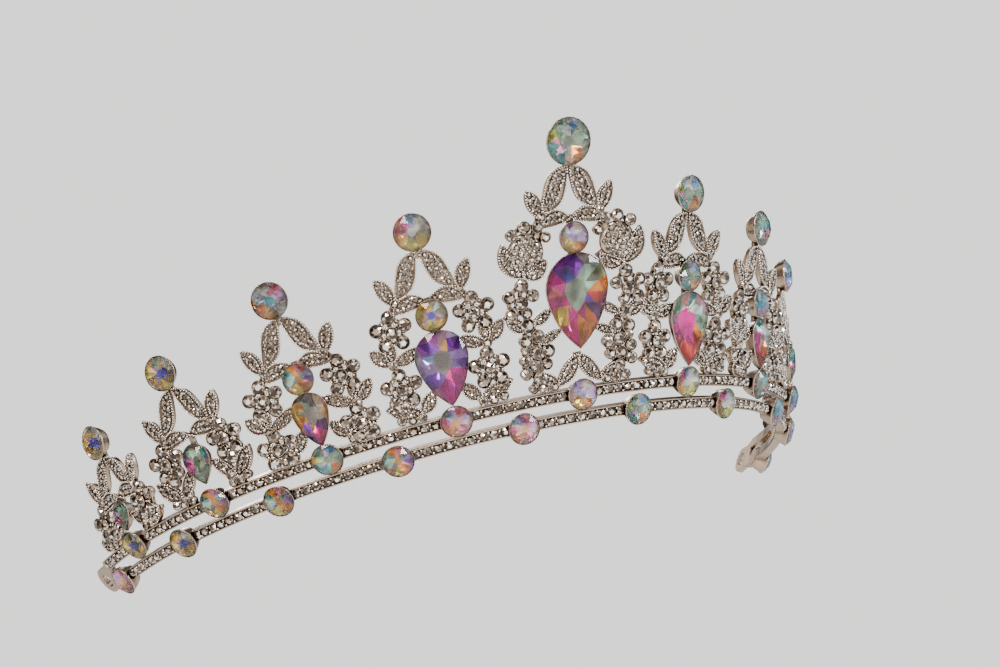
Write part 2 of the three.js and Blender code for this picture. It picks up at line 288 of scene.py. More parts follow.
@dataclass(frozen=True)
class FoiledRhinestone:
    """Small clear stones over foil, with painted reflections: each facet is painted from near black
    to a white highlight, and this differs from stone to stone.
    """

    name: str = "foiled_rhinestone"
    dark: Colour = (0.02, 0.013, 0.01)
    middle: Colour = (0.095, 0.06, 0.04)
    light: Colour = (0.50, 0.38, 0.29)
    painted_flash: Colour = (1.0, 0.96, 0.90)
    roughness: float = 0.12
    metallic: float = 0.8

    def build(self) -> bpy.types.Material:
        """Builds the material.

        Returns:
            The material.
        """
        tree = NodeTree(self.name)
        facet = tree.add("ShaderNodeAttribute", attribute_name="facet")
        tone = tree.add("ShaderNodeAttribute", attribute_name="tone")
        shifted = tree.add("ShaderNodeMath", operation="ADD")
        tree.link(facet.outputs["Fac"], shifted.inputs[0])
        tree.link(tone.outputs["Fac"], shifted.inputs[1])
        looped = tree.add("ShaderNodeMath", operation="FRACT")
        tree.link(shifted.outputs[0], looped.inputs[0])
        # The ramp paints each facet's reflection: the dark facets are painted shade, the light and
        # white ones painted highlights.
        stops = [(0.18, self.dark), (0.45, self.middle), (0.68, self.light), (0.85, self.painted_flash)]
        colour = tree.ramp(looped.outputs[0], stops)
        stone = tree.add(
            "ShaderNodeBsdfPrincipled", Metallic=self.metallic, Roughness=self.roughness
        )
        stone.inputs["Coat Weight"].default_value = 1.0
        stone.inputs["Coat Roughness"].default_value = 0.02
        tree.link(colour, stone.inputs["Base Color"])
        return tree.surface(stone)


@dataclass(frozen=True)
class AuroraFoil:
    """The mirror behind a large stone, with a hue and a tilt to each facet."""

    name: str = "aurora_foil"
    roughness: float = 0.13
    metallic: float = 0.65
    mist: float = 420.0

    def build(self) -> bpy.types.Material:
        """Builds the material.

        Returns:
            The material.
        """
        tree = NodeTree(self.name)
        hue = tree.add("ShaderNodeAttribute", attribute_name="hue")
        place = tree.add("ShaderNodeTexCoord").outputs["Object"]
        drift = tree.add("ShaderNodeTexNoise", Scale=self.mist, Detail=1.0)
        tree.link(place, drift.inputs["Vector"])
        shade = tree.add("ShaderNodeMapRange", From_Min=0.35, From_Max=0.65)
        shade.inputs["To Min"].default_value = 0.4
        shade.inputs["To Max"].default_value = 0.95
        tree.link(drift.outputs["Fac"], shade.inputs["Value"])
        tinted = tree.add("ShaderNodeVectorMath", operation="SCALE")
        tree.link(hue.outputs["Vector"], tinted.inputs[0])
        tree.link(shade.outputs["Result"], tinted.inputs["Scale"])
        tilt = tree.add("ShaderNodeAttribute", attribute_name="tilt")
        flat = tree.add("ShaderNodeNewGeometry")
        leaned = tree.add("ShaderNodeVectorMath", operation="ADD")
        tree.link(flat.outputs["True Normal"], leaned.inputs[0])
        tree.link(tilt.outputs["Vector"], leaned.inputs[1])
        facing = tree.add("ShaderNodeVectorMath", operation="NORMALIZE")
        tree.link(leaned.outputs[0], facing.inputs[0])
        foil = tree.add(
            "ShaderNodeBsdfPrincipled", Metallic=self.metallic, Roughness=self.roughness
        )
        tree.link(tinted.outputs[0], foil.inputs["Base Color"])
        tree.link(facing.outputs[0], foil.inputs["Normal"])
        return tree.surface(foil)


@dataclass(frozen=True)
class AuroraCrystal:
    """Clear cut crystal with an iridescent film, clouded a very little."""

    name: str = "aurora_crystal"
    tint: Colour = (0.98, 0.99, 0.98)
    film: float = 380.0

    def build(self) -> bpy.types.Material:
        """Builds the material.

        Returns:
            The material.
        """
        tree = NodeTree(self.name)
        place = tree.add("ShaderNodeTexCoord").outputs["Object"]
        drift = tree.add("ShaderNodeTexNoise", Scale=200.0, Detail=1.0)
        tree.link(place, drift.inputs["Vector"])
        film = tree.add("ShaderNodeMapRange", From_Min=0.3, From_Max=0.7)
        film.inputs["To Min"].default_value = self.film * 0.7
        film.inputs["To Max"].default_value = self.film * 1.3
        tree.link(drift.outputs["Fac"], film.inputs["Value"])
        glass = tree.add("ShaderNodeBsdfPrincipled", Roughness=0.0, IOR=1.52)
        glass.inputs["Base Color"].default_value = (*self.tint, 1.0)
        glass.inputs["Transmission Weight"].default_value = 1.0
        tree.link(film.outputs["Result"], glass.inputs["Thin Film Thickness"])
        glass.inputs["Thin Film IOR"].default_value = 1.5
        return tree.surface(glass)


# ---- mesh work -----------------------------------------------------------------------------------


class Bench:
    """Collects closed forms, given in a seat's millimetres, into one mesh in the frame."""

    def __init__(self) -> None:
        """Starts an empty mesh on a seat at the origin."""
        self.mesh = bmesh.new()
        self.seat = Matrix.Identity(4)

    def ring(self, points: list[Spot]) -> list[bmesh.types.BMVert]:
        """Adds one ring of vertices."""
        return [self.mesh.verts.new(self.seat @ Vector(point)) for point in points]

    def loft(self, rings: list[list[Spot]]) -> None:
        """Joins rings of equal length from back to front, and closes both ends.

        Args:
            rings: The rings, each counterclockwise as seen from the front.
        """
        loops = [self.ring(points) for points in rings]
        count = len(loops[0])
        for low, high in zip(loops, loops[1:]):
            for i in range(count):
                j = (i + 1) % count
                face = self.mesh.faces.new((low[i], low[j], high[j], high[i]))
                face.smooth = True
        self.mesh.faces.new(reversed(loops[0]))
        self.mesh.faces.new(loops[-1])

    def lathe(self, x: float, y: float, profile: list[Point], sides: int = 20) -> None:
        """Turns a profile of (radius, depth) round an outward axis, closing its two ends."""
        self.loft(
            [[(*p, depth) for p in round_outline(x, y, radius, sides)] for radius, depth in profile]
        )

    def finish(self, name: str, material: bpy.types.Material) -> bpy.types.Object:
        """Turns the collected forms into an object.

        Args:
            name: The piece's name.
            material: Its finish.

        Returns:
            The object, in the frame.
        """
        data = bpy.data.meshes.new(name)
        self.mesh.to_mesh(data)
        self.mesh.free()
        data.materials.append(material)
        piece = bpy.data.objects.new(name, data)
        bpy.context.scene.collection.objects.link(piece)
        return piece


@dataclass
class Site:
    """One place for a repeated shape: where it is, how it is turned, its size and its tone."""

    place: Vector
    turn: Quaternion
    size: float
    tone: float


class Setter:
    """Sets one small shape at many sites with Geometry Nodes."""

    def __init__(self) -> None:
        """Builds the node tree, with named inputs for the shape, its size and its finish."""
        tree = bpy.data.node_groups.new("set_on_sites", "GeometryNodeTree")
        tree.interface.new_socket("Geometry", in_out="INPUT", socket_type="NodeSocketGeometry")
        tree.interface.new_socket("Shape", in_out="INPUT", socket_type="NodeSocketObject")
        tree.interface.new_socket("Size", in_out="INPUT", socket_type="NodeSocketFloat")
        tree.interface.new_socket("Finish", in_out="INPUT", socket_type="NodeSocketMaterial")
        tree.interface.new_socket("Geometry", in_out="OUTPUT", socket_type="NodeSocketGeometry")
        given = tree.nodes.new("NodeGroupInput")
        result = tree.nodes.new("NodeGroupOutput")
        shape = tree.nodes.new("GeometryNodeObjectInfo")
        turn = tree.nodes.new("GeometryNodeInputNamedAttribute")
        turn.data_type = "QUATERNION"
        turn.inputs["Name"].default_value = "turn"
        size = tree.nodes.new("GeometryNodeInputNamedAttribute")
        size.data_type = "FLOAT"
        size.inputs["Name"].default_value = "size"
        scale = tree.nodes.new("ShaderNodeMath")
        scale.operation = "MULTIPLY"
        placed = tree.nodes.new("GeometryNodeInstanceOnPoints")
        real = tree.nodes.new("GeometryNodeRealizeInstances")
        dressed = tree.nodes.new("GeometryNodeSetMaterial")
        link = tree.links.new
        link(given.outputs["Shape"], shape.inputs["Object"])
        link(given.outputs["Geometry"], placed.inputs["Points"])
        link(shape.outputs["Geometry"], placed.inputs["Instance"])
        link(turn.outputs["Attribute"], placed.inputs["Rotation"])
        link(size.outputs["Attribute"], scale.inputs[0])
        link(given.outputs["Size"], scale.inputs[1])
        link(scale.outputs[0], placed.inputs["Scale"])
        link(placed.outputs["Instances"], real.inputs["Geometry"])
        link(real.outputs["Geometry"], dressed.inputs["Geometry"])
        link(given.outputs["Finish"], dressed.inputs["Material"])
        link(dressed.outputs["Geometry"], result.inputs["Geometry"])
        self.tree = tree

    def _inputs(self) -> dict[str, str]:
        """The identifiers of the tree's named inputs."""
        items = self.tree.interface.items_tree
        return {item.name: item.identifier for item in items if item.in_out == "INPUT"}

    def place(
        self, name: str, sites: list[Site], shape: bpy.types.Object, finish: bpy.types.Material
    ) -> bpy.types.Object:
        """Sets a shape at every site and returns the result as one plain mesh.

        Args:
            name: The piece's name.
            sites: The sites, in the frame.
            shape: The shape, one unit in radius, facing +Z.
            finish: The piece's finish.

        Returns:
            The finished piece.
        """
        points = bpy.data.meshes.new(name + "_sites")
        points.from_pydata([site.place for site in sites], [], [])
        kinds = {"turn": "QUATERNION", "size": "FLOAT", "tone": "FLOAT"}
        for label, kind in kinds.items():
            points.attributes.new(label, kind, "POINT")
        for label in kinds:
            values = points.attributes[label].data
            for i, site in enumerate(sites):
                values[i].value = getattr(site, label)
        carrier = bpy.data.objects.new(name + "_carrier", points)
        bpy.context.scene.collection.objects.link(carrier)
        modifier = carrier.modifiers.new("set", "NODES")
        modifier.node_group = self.tree
        inputs = self._inputs()
        modifier[inputs["Shape"]] = shape
        modifier[inputs["Size"]] = MM
        modifier[inputs["Finish"]] = finish
        bpy.context.view_layer.update()
        depsgraph = bpy.context.evaluated_depsgraph_get()
        data = bpy.data.meshes.new_from_object(carrier.evaluated_get(depsgraph))
        data.name = name
        bpy.data.objects.remove(carrier)
        piece = bpy.data.objects.new(name, data)
        bpy.context.scene.collection.objects.link(piece)
        return piece


def unit_shape(name: str, build: bmesh.types.BMesh, smooth: bool) -> bpy.types.Object:
    """A hidden source shape for the setter."""
    data = bpy.data.meshes.new(name)
    for face in build.faces:
        face.smooth = smooth
    build.to_mesh(data)
    build.free()
    return bpy.data.objects.new(name, data)


def bead_shape() -> bpy.types.Object:
    """A bead of unit radius."""
    build = bmesh.new()
    bmesh.ops.create_uvsphere(build, u_segments=7, v_segments=4, radius=1.0)
    return unit_shape("bead", build, smooth=True)


def brilliant_rings(sides: int, table: float, rise: float, waist: float) -> list[list[Vector]]:
    """The corners of a round cut of unit radius, from its girdle to its table.

    Args:
        sides: The number of main facets.
        table: The table's radius.
        rise: The table's height above the girdle.
        waist: The radius of the ring between them.

    Returns:
        The girdle's corners, twice as many as the sides, then the middle ring and the table.
    """
    step = math.pi / sides

    def corner(radius: float, turns: float, height: float) -> Vector:
        """A corner of one ring, a number of half facets round."""
        return Vector((radius * math.cos(turns * step), radius * math.sin(turns * step), height))

    girdle = [corner(1.0, i, 0.0) for i in range(2 * sides)]
    middle = [corner(waist, 2 * i + 1, rise * 0.62) for i in range(sides)]
    flat = [corner(table, 2 * i, rise) for i in range(sides)]
    return [girdle, middle, flat]


def crown_faces(build: bmesh.types.BMesh, rings: list[list[bmesh.types.BMVert]]) -> None:
    """Adds the facets of a crown over its girdle, middle ring and table.

    Args:
        build: The mesh to add to.
        rings: The corners of the girdle, the middle ring and the table.
    """
    girdle, middle, flat = rings
    sides = len(middle)
    for i in range(sides):
        j = (i + 1) % sides
        before = middle[i - 1]
        build.faces.new((girdle[2 * i], middle[i], flat[i]))
        build.faces.new((girdle[2 * i], flat[i], before))
        build.faces.new((flat[i], middle[i], flat[j]))
        build.faces.new((girdle[2 * i], girdle[2 * i + 1], middle[i]))
        build.faces.new((girdle[2 * i + 1], girdle[2 * j], middle[i]))
    build.faces.new(flat)


def rhinestone_shape() -> bpy.types.Object:
    """A small six-sided round cut of unit radius with a flat back."""
    build = bmesh.new()
    rings = [[build.verts.new(p) for p in ring] for ring in brilliant_rings(6, 0.44, 0.55, 0.74)]
    crown_faces(build, rings)
    build.faces.new(reversed(rings[0]))
    # A random value for each facet, which the rhinestone finish turns into its painted reflection.
    facet = build.faces.layers.float.new("facet")
    draw = random.Random(7)
    for face in build.faces:
        face[facet] = draw.random()
    return unit_shape("rhinestone", build, smooth=False)


# ---- large stones --------------------------------------------------------------------------------


@dataclass(frozen=True)
class Hues:
    """A large stone's colours, as linear values.

    rim runs counterclockwise round the outer facets from the right side; heart starts with the
    middle facet and goes on round the ones that touch it.
    """

    rim: tuple[Colour, ...]
    heart: tuple[Colour, ...]


MINT = (0.42, 0.74, 0.54)
SAGE = (0.26, 0.36, 0.26)
TEAL = (0.08, 0.50, 0.56)
SKY = (0.22, 0.46, 0.92)
ICE = (0.70, 0.88, 0.95)
PEARL = (0.78, 0.74, 0.74)
# White foil facets are painted highlights: they stand in for a light reflected in the crown.
PAINTED_HIGHLIGHT = (1.0, 0.98, 0.92)
INDIGO = (0.07, 0.06, 0.46)
VIOLET = (0.28, 0.04, 0.60)
LILAC = (0.58, 0.38, 0.84)
PLUM = (0.24, 0.03, 0.26)
MAGENTA = (0.95, 0.01, 0.40)
ROSE = (1.0, 0.28, 0.50)
RED = (0.90, 0.05, 0.03)
ORANGE = (1.0, 0.30, 0.02)
PEACH = (1.0, 0.60, 0.36)
GOLD = (1.0, 0.60, 0.05)
LEMON = (0.95, 0.88, 0.10)
AMBER = (0.56, 0.28, 0.06)
SMOKE = (0.26, 0.23, 0.22)


class Palette(Enum):
    """The colourings of the large stones; the white facets in them are painted highlights, where a
    light's reflection would fall.
    """

    GRAND = Hues(
        (
            *(ORANGE, MINT, PAINTED_HIGHLIGHT, VIOLET, VIOLET, MAGENTA, ROSE),
            *(MAGENTA, GOLD, MAGENTA, ORANGE, PLUM, RED),
        ),
        (SAGE, MINT, SAGE, VIOLET, INDIGO, MAGENTA, MAGENTA, MAGENTA, SAGE, VIOLET),
    )
    AMETHYST = Hues(
        (LILAC, VIOLET, PEARL, LILAC, VIOLET, PEARL, LILAC, VIOLET, ROSE, MAGENTA, MAGENTA, VIOLET),
        (SMOKE, LILAC, AMBER, VIOLET, SKY, LILAC, VIOLET, MAGENTA, LILAC),
    )
    TOPAZ = Hues(
        (AMBER, PAINTED_HIGHLIGHT, SAGE, SAGE, GOLD, GOLD, ORANGE, VIOLET, MAGENTA, PLUM, AMBER),
        (SMOKE, PAINTED_HIGHLIGHT, SAGE, SAGE, GOLD, GOLD, VIOLET, PAINTED_HIGHLIGHT),
    )
    ORCHID = Hues(
        (MINT, ICE, TEAL, PAINTED_HIGHLIGHT, MINT, LILAC, MAGENTA, MAGENTA, RED, RED, ORANGE, MINT),
        (MAGENTA, MINT, PAINTED_HIGHLIGHT, MINT, ROSE, MAGENTA, MAGENTA, ORANGE),
    )
    MOSS = Hues(
        (TEAL, SAGE, SAGE, LILAC, MAGENTA, SAGE, SAGE, ROSE),
        (SAGE, TEAL, MINT, ROSE, SAGE, SAGE, PEARL),
    )
    OPAL = Hues(
        (MINT, SKY, ICE, MINT, LEMON, TEAL, TEAL, PEACH, ORANGE, SAGE),
        (SAGE, SAGE, PEARL, MINT, ROSE, MINT, SAGE),
    )
    DAWN = Hues(
        (PAINTED_HIGHLIGHT, ICE, SKY, MAGENTA, ROSE, ORANGE, GOLD, LEMON, LEMON, SAGE),
        (PEARL, ICE, LILAC, ROSE, PEACH, SAGE, LEMON),
    )
    DUSK = Hues(
        (LILAC, ROSE, PEARL, ICE, ORANGE, ORANGE, AMBER, PEARL, PEARL),
        (TEAL, LILAC, ROSE, SKY, TEAL, SKY, PEARL),
    )
    NIGHT = Hues(
        (PAINTED_HIGHLIGHT, ICE, SAGE, GOLD, LEMON, AMBER, GOLD, LEMON, GOLD, SMOKE),
        (INDIGO, SMOKE, AMBER, VIOLET, INDIGO, SMOKE, PLUM),
    )
    BLUSH = Hues(
        (LILAC, ROSE, LILAC, TEAL, ROSE, ORANGE, PEACH, ROSE, PEARL),
        (PEACH, ROSE, LILAC, PEACH, ORANGE, ROSE),
    )
    EMBER = Hues(
        (LILAC, ROSE, ORANGE, TEAL, MINT, GOLD, LEMON, ORANGE, VIOLET),
        (AMBER, TEAL, ORANGE, MINT, INDIGO, ORANGE, ROSE),
    )
    FROST = Hues(
        (LILAC, ICE, LILAC, PEARL, PEACH, LEMON, GOLD, ORANGE, LILAC),
        (LILAC, LILAC, PEARL, SKY, GOLD, PEARL),
    )
    LAGOON = Hues(
        (SKY, TEAL, ICE, SKY, ICE, SAGE, PEACH, ROSE, SKY),
        (TEAL, SKY, ICE, SAGE, SKY, LILAC),
    )


UPPER_PALETTES = (
    Palette.NIGHT,
    Palette.EMBER,
    Palette.OPAL,
    Palette.BLUSH,
    Palette.FROST,
    Palette.DAWN,
    Palette.MOSS,
    Palette.LAGOON,
    Palette.LAGOON,
)
LOWER_PALETTES = (
    Palette.BLUSH,
    Palette.NIGHT,
    Palette.EMBER,
    Palette.EMBER,
    Palette.BLUSH,
    Palette.OPAL,
    Palette.DAWN,
    Palette.LAGOON,
    Palette.FROST,
    Palette.LAGOON,
)


@dataclass(frozen=True)
class StoneCut:
    """A large stone's proportions, as shares of its radius, and how pale its hues are."""

    table: float = 0.58
    waist: float = 0.82
    rise: float = 0.40
    girdle: float = 0.07
    depth: float = 0.34
    belly: float = 0.62
    culet: float = 0.26
    tilt: float = 0.16
    milk: float = 0.12


SHALLOW_CUT = StoneCut(depth=0.2)
DROP_CUT = StoneCut(belly=0.68, culet=0.36, tilt=0.22, milk=0.0)


class LargeStone:
    """A cut stone over coloured foil, given by its outline on a seat."""

    def __init__(
        self,
        outline: list[Point],
        radius: float,
        heart: Point,
        seat: Matrix,
        cut: StoneCut = StoneCut(),
    ) -> None:
        """Keeps the stone's outline.

        Args:
            outline: An even number of corners, counterclockwise.
            radius: The size that the cut's proportions multiply.
            heart: The point that the facets close towards.
            seat: The seat's matrix.
            cut: The cut's proportions.
        """
        self.cut = cut
        self.outline = outline
        self.radius = radius
        self.heart = heart
        self.seat = seat

    def _ring(
        self, build: bmesh.types.BMesh, share: float, depth: float, offset: int, step: int
    ) -> list[bmesh.types.BMVert]:
        """Corners of the outline drawn in towards the heart, at a depth in radii."""
        x, y = self.heart
        level = depth * self.radius
        return [
            build.verts.new(self.seat @ Vector((x + (px - x) * share, y + (py - y) * share, level)))
            for px, py in self.outline[offset::step]
        ]

    def build(self, build: bmesh.types.BMesh, palette: Palette, draw: random.Random) -> None:
        """Adds the closed stone: a clear crown and girdle, and foil facets behind them.

        Args:
            build: The mesh to add to.
            palette: The stone's colouring.
            draw: The source of its variety.
        """
        cut = self.cut
        hue = build.faces.layers.float_vector.new("hue")
        tilt = build.faces.layers.float_vector.new("tilt")
        girdle = self._ring(build, 1.0, cut.girdle, 0, 1)
        waist = self._ring(build, cut.waist, cut.girdle + (cut.rise - cut.girdle) * 0.55, 1, 2)
        table = self._ring(build, cut.table, cut.rise, 0, 2)
        crown_faces(build, [girdle, waist, table])
        base = self._ring(build, 1.0, 0.0, 0, 1)
        for i in range(len(base)):
            j = (i + 1) % len(base)
            build.faces.new((base[i], base[j], girdle[j], girdle[i]))
        belly = self._ring(build, cut.belly, -cut.depth * 0.7, 1, 2)
        culet = self._ring(build, cut.culet, -cut.depth, 0, 2)
        facets = self._pavilion(base, belly, culet) + [tuple(reversed(culet))]
        for corners in facets:
            face = build.faces.new(corners)
            outer = sum(corner in base for corner in corners)
            centre = len(corners) == len(culet)
            face[hue] = palette.value.heart[0] if centre else self._hue(face, palette, outer, draw)
            face[tilt] = self._lean(draw, cut.tilt)
            face.material_index = 1

    @staticmethod
    def _pavilion(
        girdle: list[bmesh.types.BMVert],
        belly: list[bmesh.types.BMVert],
        culet: list[bmesh.types.BMVert],
    ) -> list[tuple[bmesh.types.BMVert, ...]]:
        """The corners of the facets behind the girdle, facing back."""
        facets = []
        sides = len(belly)
        for i in range(sides):
            j = (i + 1) % sides
            facets += [
                (girdle[2 * i], culet[i], belly[i]),
                (girdle[2 * i], belly[i - 1], culet[i]),
                (culet[i], culet[j], belly[i]),
                (girdle[2 * i], belly[i], girdle[2 * i + 1]),
                (girdle[2 * i + 1], belly[i], girdle[2 * j]),
            ]
        return facets

    def _hue(
        self, face: bmesh.types.BMFace, palette: Palette, outer: int, draw: random.Random
    ) -> Vector:
        """The hue of a foil facet, by its bearing from the heart.

        Args:
            face: The facet.
            palette: The stone's colouring.
            outer: How many of its corners are on the girdle: two make it paler.
            draw: The source of its variety.

        Returns:
            The hue, as linear values.
        """
        middle = self.seat.inverted() @ face.calc_center_median()
        x, y = self.heart
        bearing = math.atan2(middle.y - y, middle.x - x) / math.tau % 1.0
        row = palette.value.rim if outer else palette.value.heart[1:]
        hue = Vector(row[int(bearing * len(row) + draw.uniform(-0.3, 0.3)) % len(row)])
        return hue.lerp(Vector(PEARL), self.cut.milk * (2 if outer == 2 else 1))

    def _lean(self, draw: random.Random, amount: float) -> Vector:
        """A random tilt for a facet, in the frame."""
        across = Vector((draw.uniform(-amount, amount), draw.uniform(-amount, amount), 0))
        return self.seat.to_3x3().normalized() @ across


def round_outline(x: float, y: float, radius: float, corners: int) -> list[Point]:
    """A circle's corners."""
    turn = [2 * math.pi * i / corners for i in range(corners)]
    return [(x + radius * math.cos(a), y + radius * math.sin(a)) for a in turn]


def drop_outline(drop: Drop, corners: int, inset: float = 0.0) -> list[Point]:
    """A drop's outline, round above and pointed below, counterclockwise from its right side.

    Args:
        drop: The drop.
        corners: The number of corners, a multiple of four.
        inset: How far the outline is drawn in.

    Returns:
        The corners; the point is one of them.
    """
    radius = drop.radius - inset
    point = drop.point + 2 * inset
    middle = drop.head - drop.radius
    droop = math.pi * 0.08
    side = Vector((radius * math.cos(droop), middle - radius * math.sin(droop)))
    control = Vector((side.x * 0.78, point + (side.y - point) * 0.38))
    tip = Vector((0, point))
    above = corners // 2
    outline = []
    for i in range(above + 1):
        angle = -droop + (math.pi + 2 * droop) * i / above
        outline.append((radius * math.cos(angle), middle + radius * math.sin(angle)))
    lower = (corners - above) // 2
    left = Vector((-side.x, side.y))
    left_control = Vector((-control.x, control.y))
    for i in range(1, lower + 1):
        t = i / lower
        spot = left * (1 - t) ** 2 + left_control * 2 * t * (1 - t) + tip * t**2
        outline.append((spot.x, spot.y))
    for i in range(1, lower):
        t = i / lower
        spot = tip * (1 - t) ** 2 + control * 2 * t * (1 - t) + side * t**2
        outline.append((spot.x, spot.y))
    return outline


# ---- setting work --------------------------------------------------------------------------------


@dataclass(frozen=True)
class Depths:
    """How far the casting's surfaces stand out, measured from the stones' girdles."""

    back: float = -2.0
    edge: float = -1.6
    floor: float = -0.95
    rim: float = -0.62


class Jeweller:
    """Builds settings on a seat, and collects the beads and small stones that go with them."""

    depths = Depths()
    bead = 0.21
    bead_pitch = 0.52
    cup_wall = 0.15
    cup_sides = 16
    collet_sides = 24
    fullness = 0.8
    outline_steps = 12
    pave_pitch = 1.12
    pave_radius = 0.5
    dome_pitch = 1.42
    dome_stone = 0.62
    web_reach = 0.9
    web_width = 0.9

    def __init__(self, seed: int) -> None:
        """Starts with an empty bench."""
        self.bench = Bench()
        self.beads: list[Site] = []
        self.stones: list[Site] = []
        self.anchors: list[tuple[Vector, float]] = []
        self.draw = random.Random(seed)
        self.face(Matrix.Identity(4))

    def face(self, seat: Matrix) -> None:
        """Moves to a seat."""
        self.bench.seat = seat
        self.seat = seat
        self.turn = seat.to_3x3().normalized().to_quaternion()
        self.anchors = []

    def _site(
        self, x: float, y: float, depth: float, size: float, tilt: float = 0.0, lean: Point = (0, 0)
    ) -> Site:
        """A site on this seat, leaned as told, spun at random and tilted a little."""
        spin = Quaternion((0, 0, 1), self.draw.uniform(0, math.tau))
        rock = Quaternion((1, 0, 0), self.draw.uniform(-tilt, tilt) - lean[1])
        rock @= Quaternion((0, 1, 0), self.draw.uniform(-tilt, tilt) + lean[0])
        place = self.seat @ Vector((x, y, depth))
        return Site(place, self.turn @ rock @ spin, size, self.draw.random())

    def grain(self, x: float, y: float, depth: float, size: float) -> None:
        """Adds one bead."""
        self.beads.append(self._site(x, y, depth, size))

    def stone(self, x: float, y: float, depth: float, size: float, lean: Point = (0, 0)) -> None:
        """Adds one small stone, leaning outwards by lean's two angles."""
        self.stones.append(self._site(x, y, depth, size, tilt=0.16, lean=lean))

    def cup(self, x: float, y: float, radius: float, lift: float = 0.0) -> None:
        """A small round setting with its stone."""
        back, rim = self.depths.back, self.depths.rim + lift
        wall = self.cup_wall
        profile = [
            (radius * 0.62, back),
            (radius * 0.82, back + 0.35),
            (radius * 0.97, rim - 0.4),
            (radius, rim),
            (radius - wall * 0.5, rim + 0.12),
            (radius - wall, rim + 0.04),
            (radius - wall * 1.2, rim - 0.26),
        ]
        self.bench.lathe(x, y, profile, self.cup_sides)
        self.stone(x, y, rim - 0.08, radius - wall * 0.9)
        self.anchors.append((Vector((x, y)), radius))

    def web(self) -> None:
        """Joins every two neighbouring settings on this seat with a low bar behind them."""
        for i, (spot, radius) in enumerate(self.anchors):
            for other, reach in self.anchors[:i]:
                gap = (spot - other).length
                if 0.3 < gap < radius + reach + self.web_reach:
                    self.strut(tuple(spot), tuple(other), self.web_width, deep=True)

    def leaf(
        self, base: Point, tip: Point, width: float, bend: float = 0.0, sway: float = 0.0
    ) -> None:
        """A pointed leaf with a beaded edge and a bed of small stones.

        Args:
            base: Where the leaf joins its stem.
            tip: Its free end.
            width: Its widest measure.
            bend: How far its middle bows to the left of the way from base to tip.
            sway: How far it curves left in its first half and right in its second.
        """
        start, end = Vector(base), Vector(tip)
        length = (end - start).length
        along = (end - start) / length
        across = Vector((-along.y, along.x))

        def spine(t: float) -> Vector:
            """A place on the leaf's middle line, from 0 at its base to 1 at its tip."""
            aside = bend * 4 * t * (1 - t) + sway * math.sin(math.tau * t)
            return start + along * (length * t) + across * aside

        def outline(inset: float) -> list[Point]:
            """The leaf's edge, drawn in by a number of millimetres."""
            reach = length - 2.4 * inset
            half = width / 2 - inset
            points = []
            for i in range(2 * self.outline_steps):
                t = i / self.outline_steps
                side = 1 if t < 1 else -1
                t = t if t < 1 else 2 - t
                middle = spine(0.5 + (t - 0.5) * reach / length)
                spot = middle + across * (side * half * (4 * t * (1 - t)) ** self.fullness)
                points.append((spot.x, spot.y))
            return points[::-1]

        deep = self.depths
        rings = [
            (0.45, deep.back),
            (0.2, deep.edge),
            (0.12, deep.rim - 0.35),
            (0.16, deep.rim - 0.14),
            (0.26, deep.rim - 0.16),
            (0.32, deep.floor),
        ]
        self.bench.loft([[(*p, depth) for p in outline(inset)] for inset, depth in rings])
        self._bead_loop(outline(0.17))
        self._leaf_bed(spine, across, length, width)
        self.anchors += [(spine(0.06), 0.2), (spine(0.94), 0.2)]

    def _bead_loop(self, points: list[Point]) -> None:
        """Beads at an even pitch round a closed line."""
        corners = [Vector(p) for p in points]
        runs = [(b - a).length for a, b in zip(corners, corners[1:] + corners[:1])]
        count = max(6, round(sum(runs) / self.bead_pitch))
        gap = sum(runs) / count
        travelled, i = 0.0, 0
        for k in range(count):
            goal = k * gap
            while travelled + runs[i] < goal:
                travelled += runs[i]
                i += 1
            share = (goal - travelled) / runs[i]
            spot = corners[i].lerp(corners[(i + 1) % len(corners)], share)
            self.grain(spot.x, spot.y, self.depths.rim, self.bead)

    def _leaf_bed(
        self, spine: Callable[[float], Vector], across: Vector, length: float, width: float
    ) -> None:
        """Rows of small stones across a leaf, with grains in the gaps at their sides."""
        room = width - 0.7
        rows = max(2, round(length * 0.8 / self.pave_pitch))
        level = self.depths.floor + 0.2
        for row in range(rows):
            t = 0.5 + (row - (rows - 1) / 2) * self.pave_pitch / length
            wide = room * 4 * t * (1 - t)
            if wide < 0.5:
                continue
            count = max(1, int((wide + 0.25) / self.pave_pitch))
            radius = min(self.pave_radius, wide / (2 * count))
            centre = spine(t)
            for k in range(count):
                spot = centre + across * ((k - (count - 1) / 2) * 2.05 * radius)
                self.stone(spot.x, spot.y, level, radius)
            free = (wide - 2 * radius * count) / 2
            half_row = 0.5 * self.pave_pitch / length
            beside = spine(t + half_row)
            reach = radius * count * 0.62 + free * 0.5
            for way in SIDES:
                spot = beside + across * (way * reach)
                self.grain(spot.x, spot.y, level, 0.2)

    def flower(self, side: int, x: float, y: float) -> None:
        """Five petals round a raised heart, with one petal upwards."""
        reach, petal = 2.85, 1.4
        for k in range(5):
            angle = math.radians(90 + 72 * k)
            px, py = x + reach * math.cos(angle), y + reach * math.sin(angle)
            self.cup(side * px, py, petal, lift=self.draw.uniform(-0.05, 0.15))
            between = angle + math.radians(36)
            for out, size in ((2.4, 0.28), (1.62, 0.32)):
                gx, gy = x + out * math.cos(between), y + out * math.sin(between)
                self.grain(side * gx, gy, self.depths.rim + 0.05, size)
        self.cup(side * x, y, 1.25, lift=0.45)

    def dome(self, x: float, y: float, radius: float, height: float) -> None:
        """A rounded boss closely set with small stones."""
        deep = self.depths
        pitch, size = self.dome_pitch, self.dome_stone

        def level(reach: float) -> float:
            """How far out the boss stands at a distance from its middle."""
            return deep.floor + height * (1 - (reach / radius) ** 2)

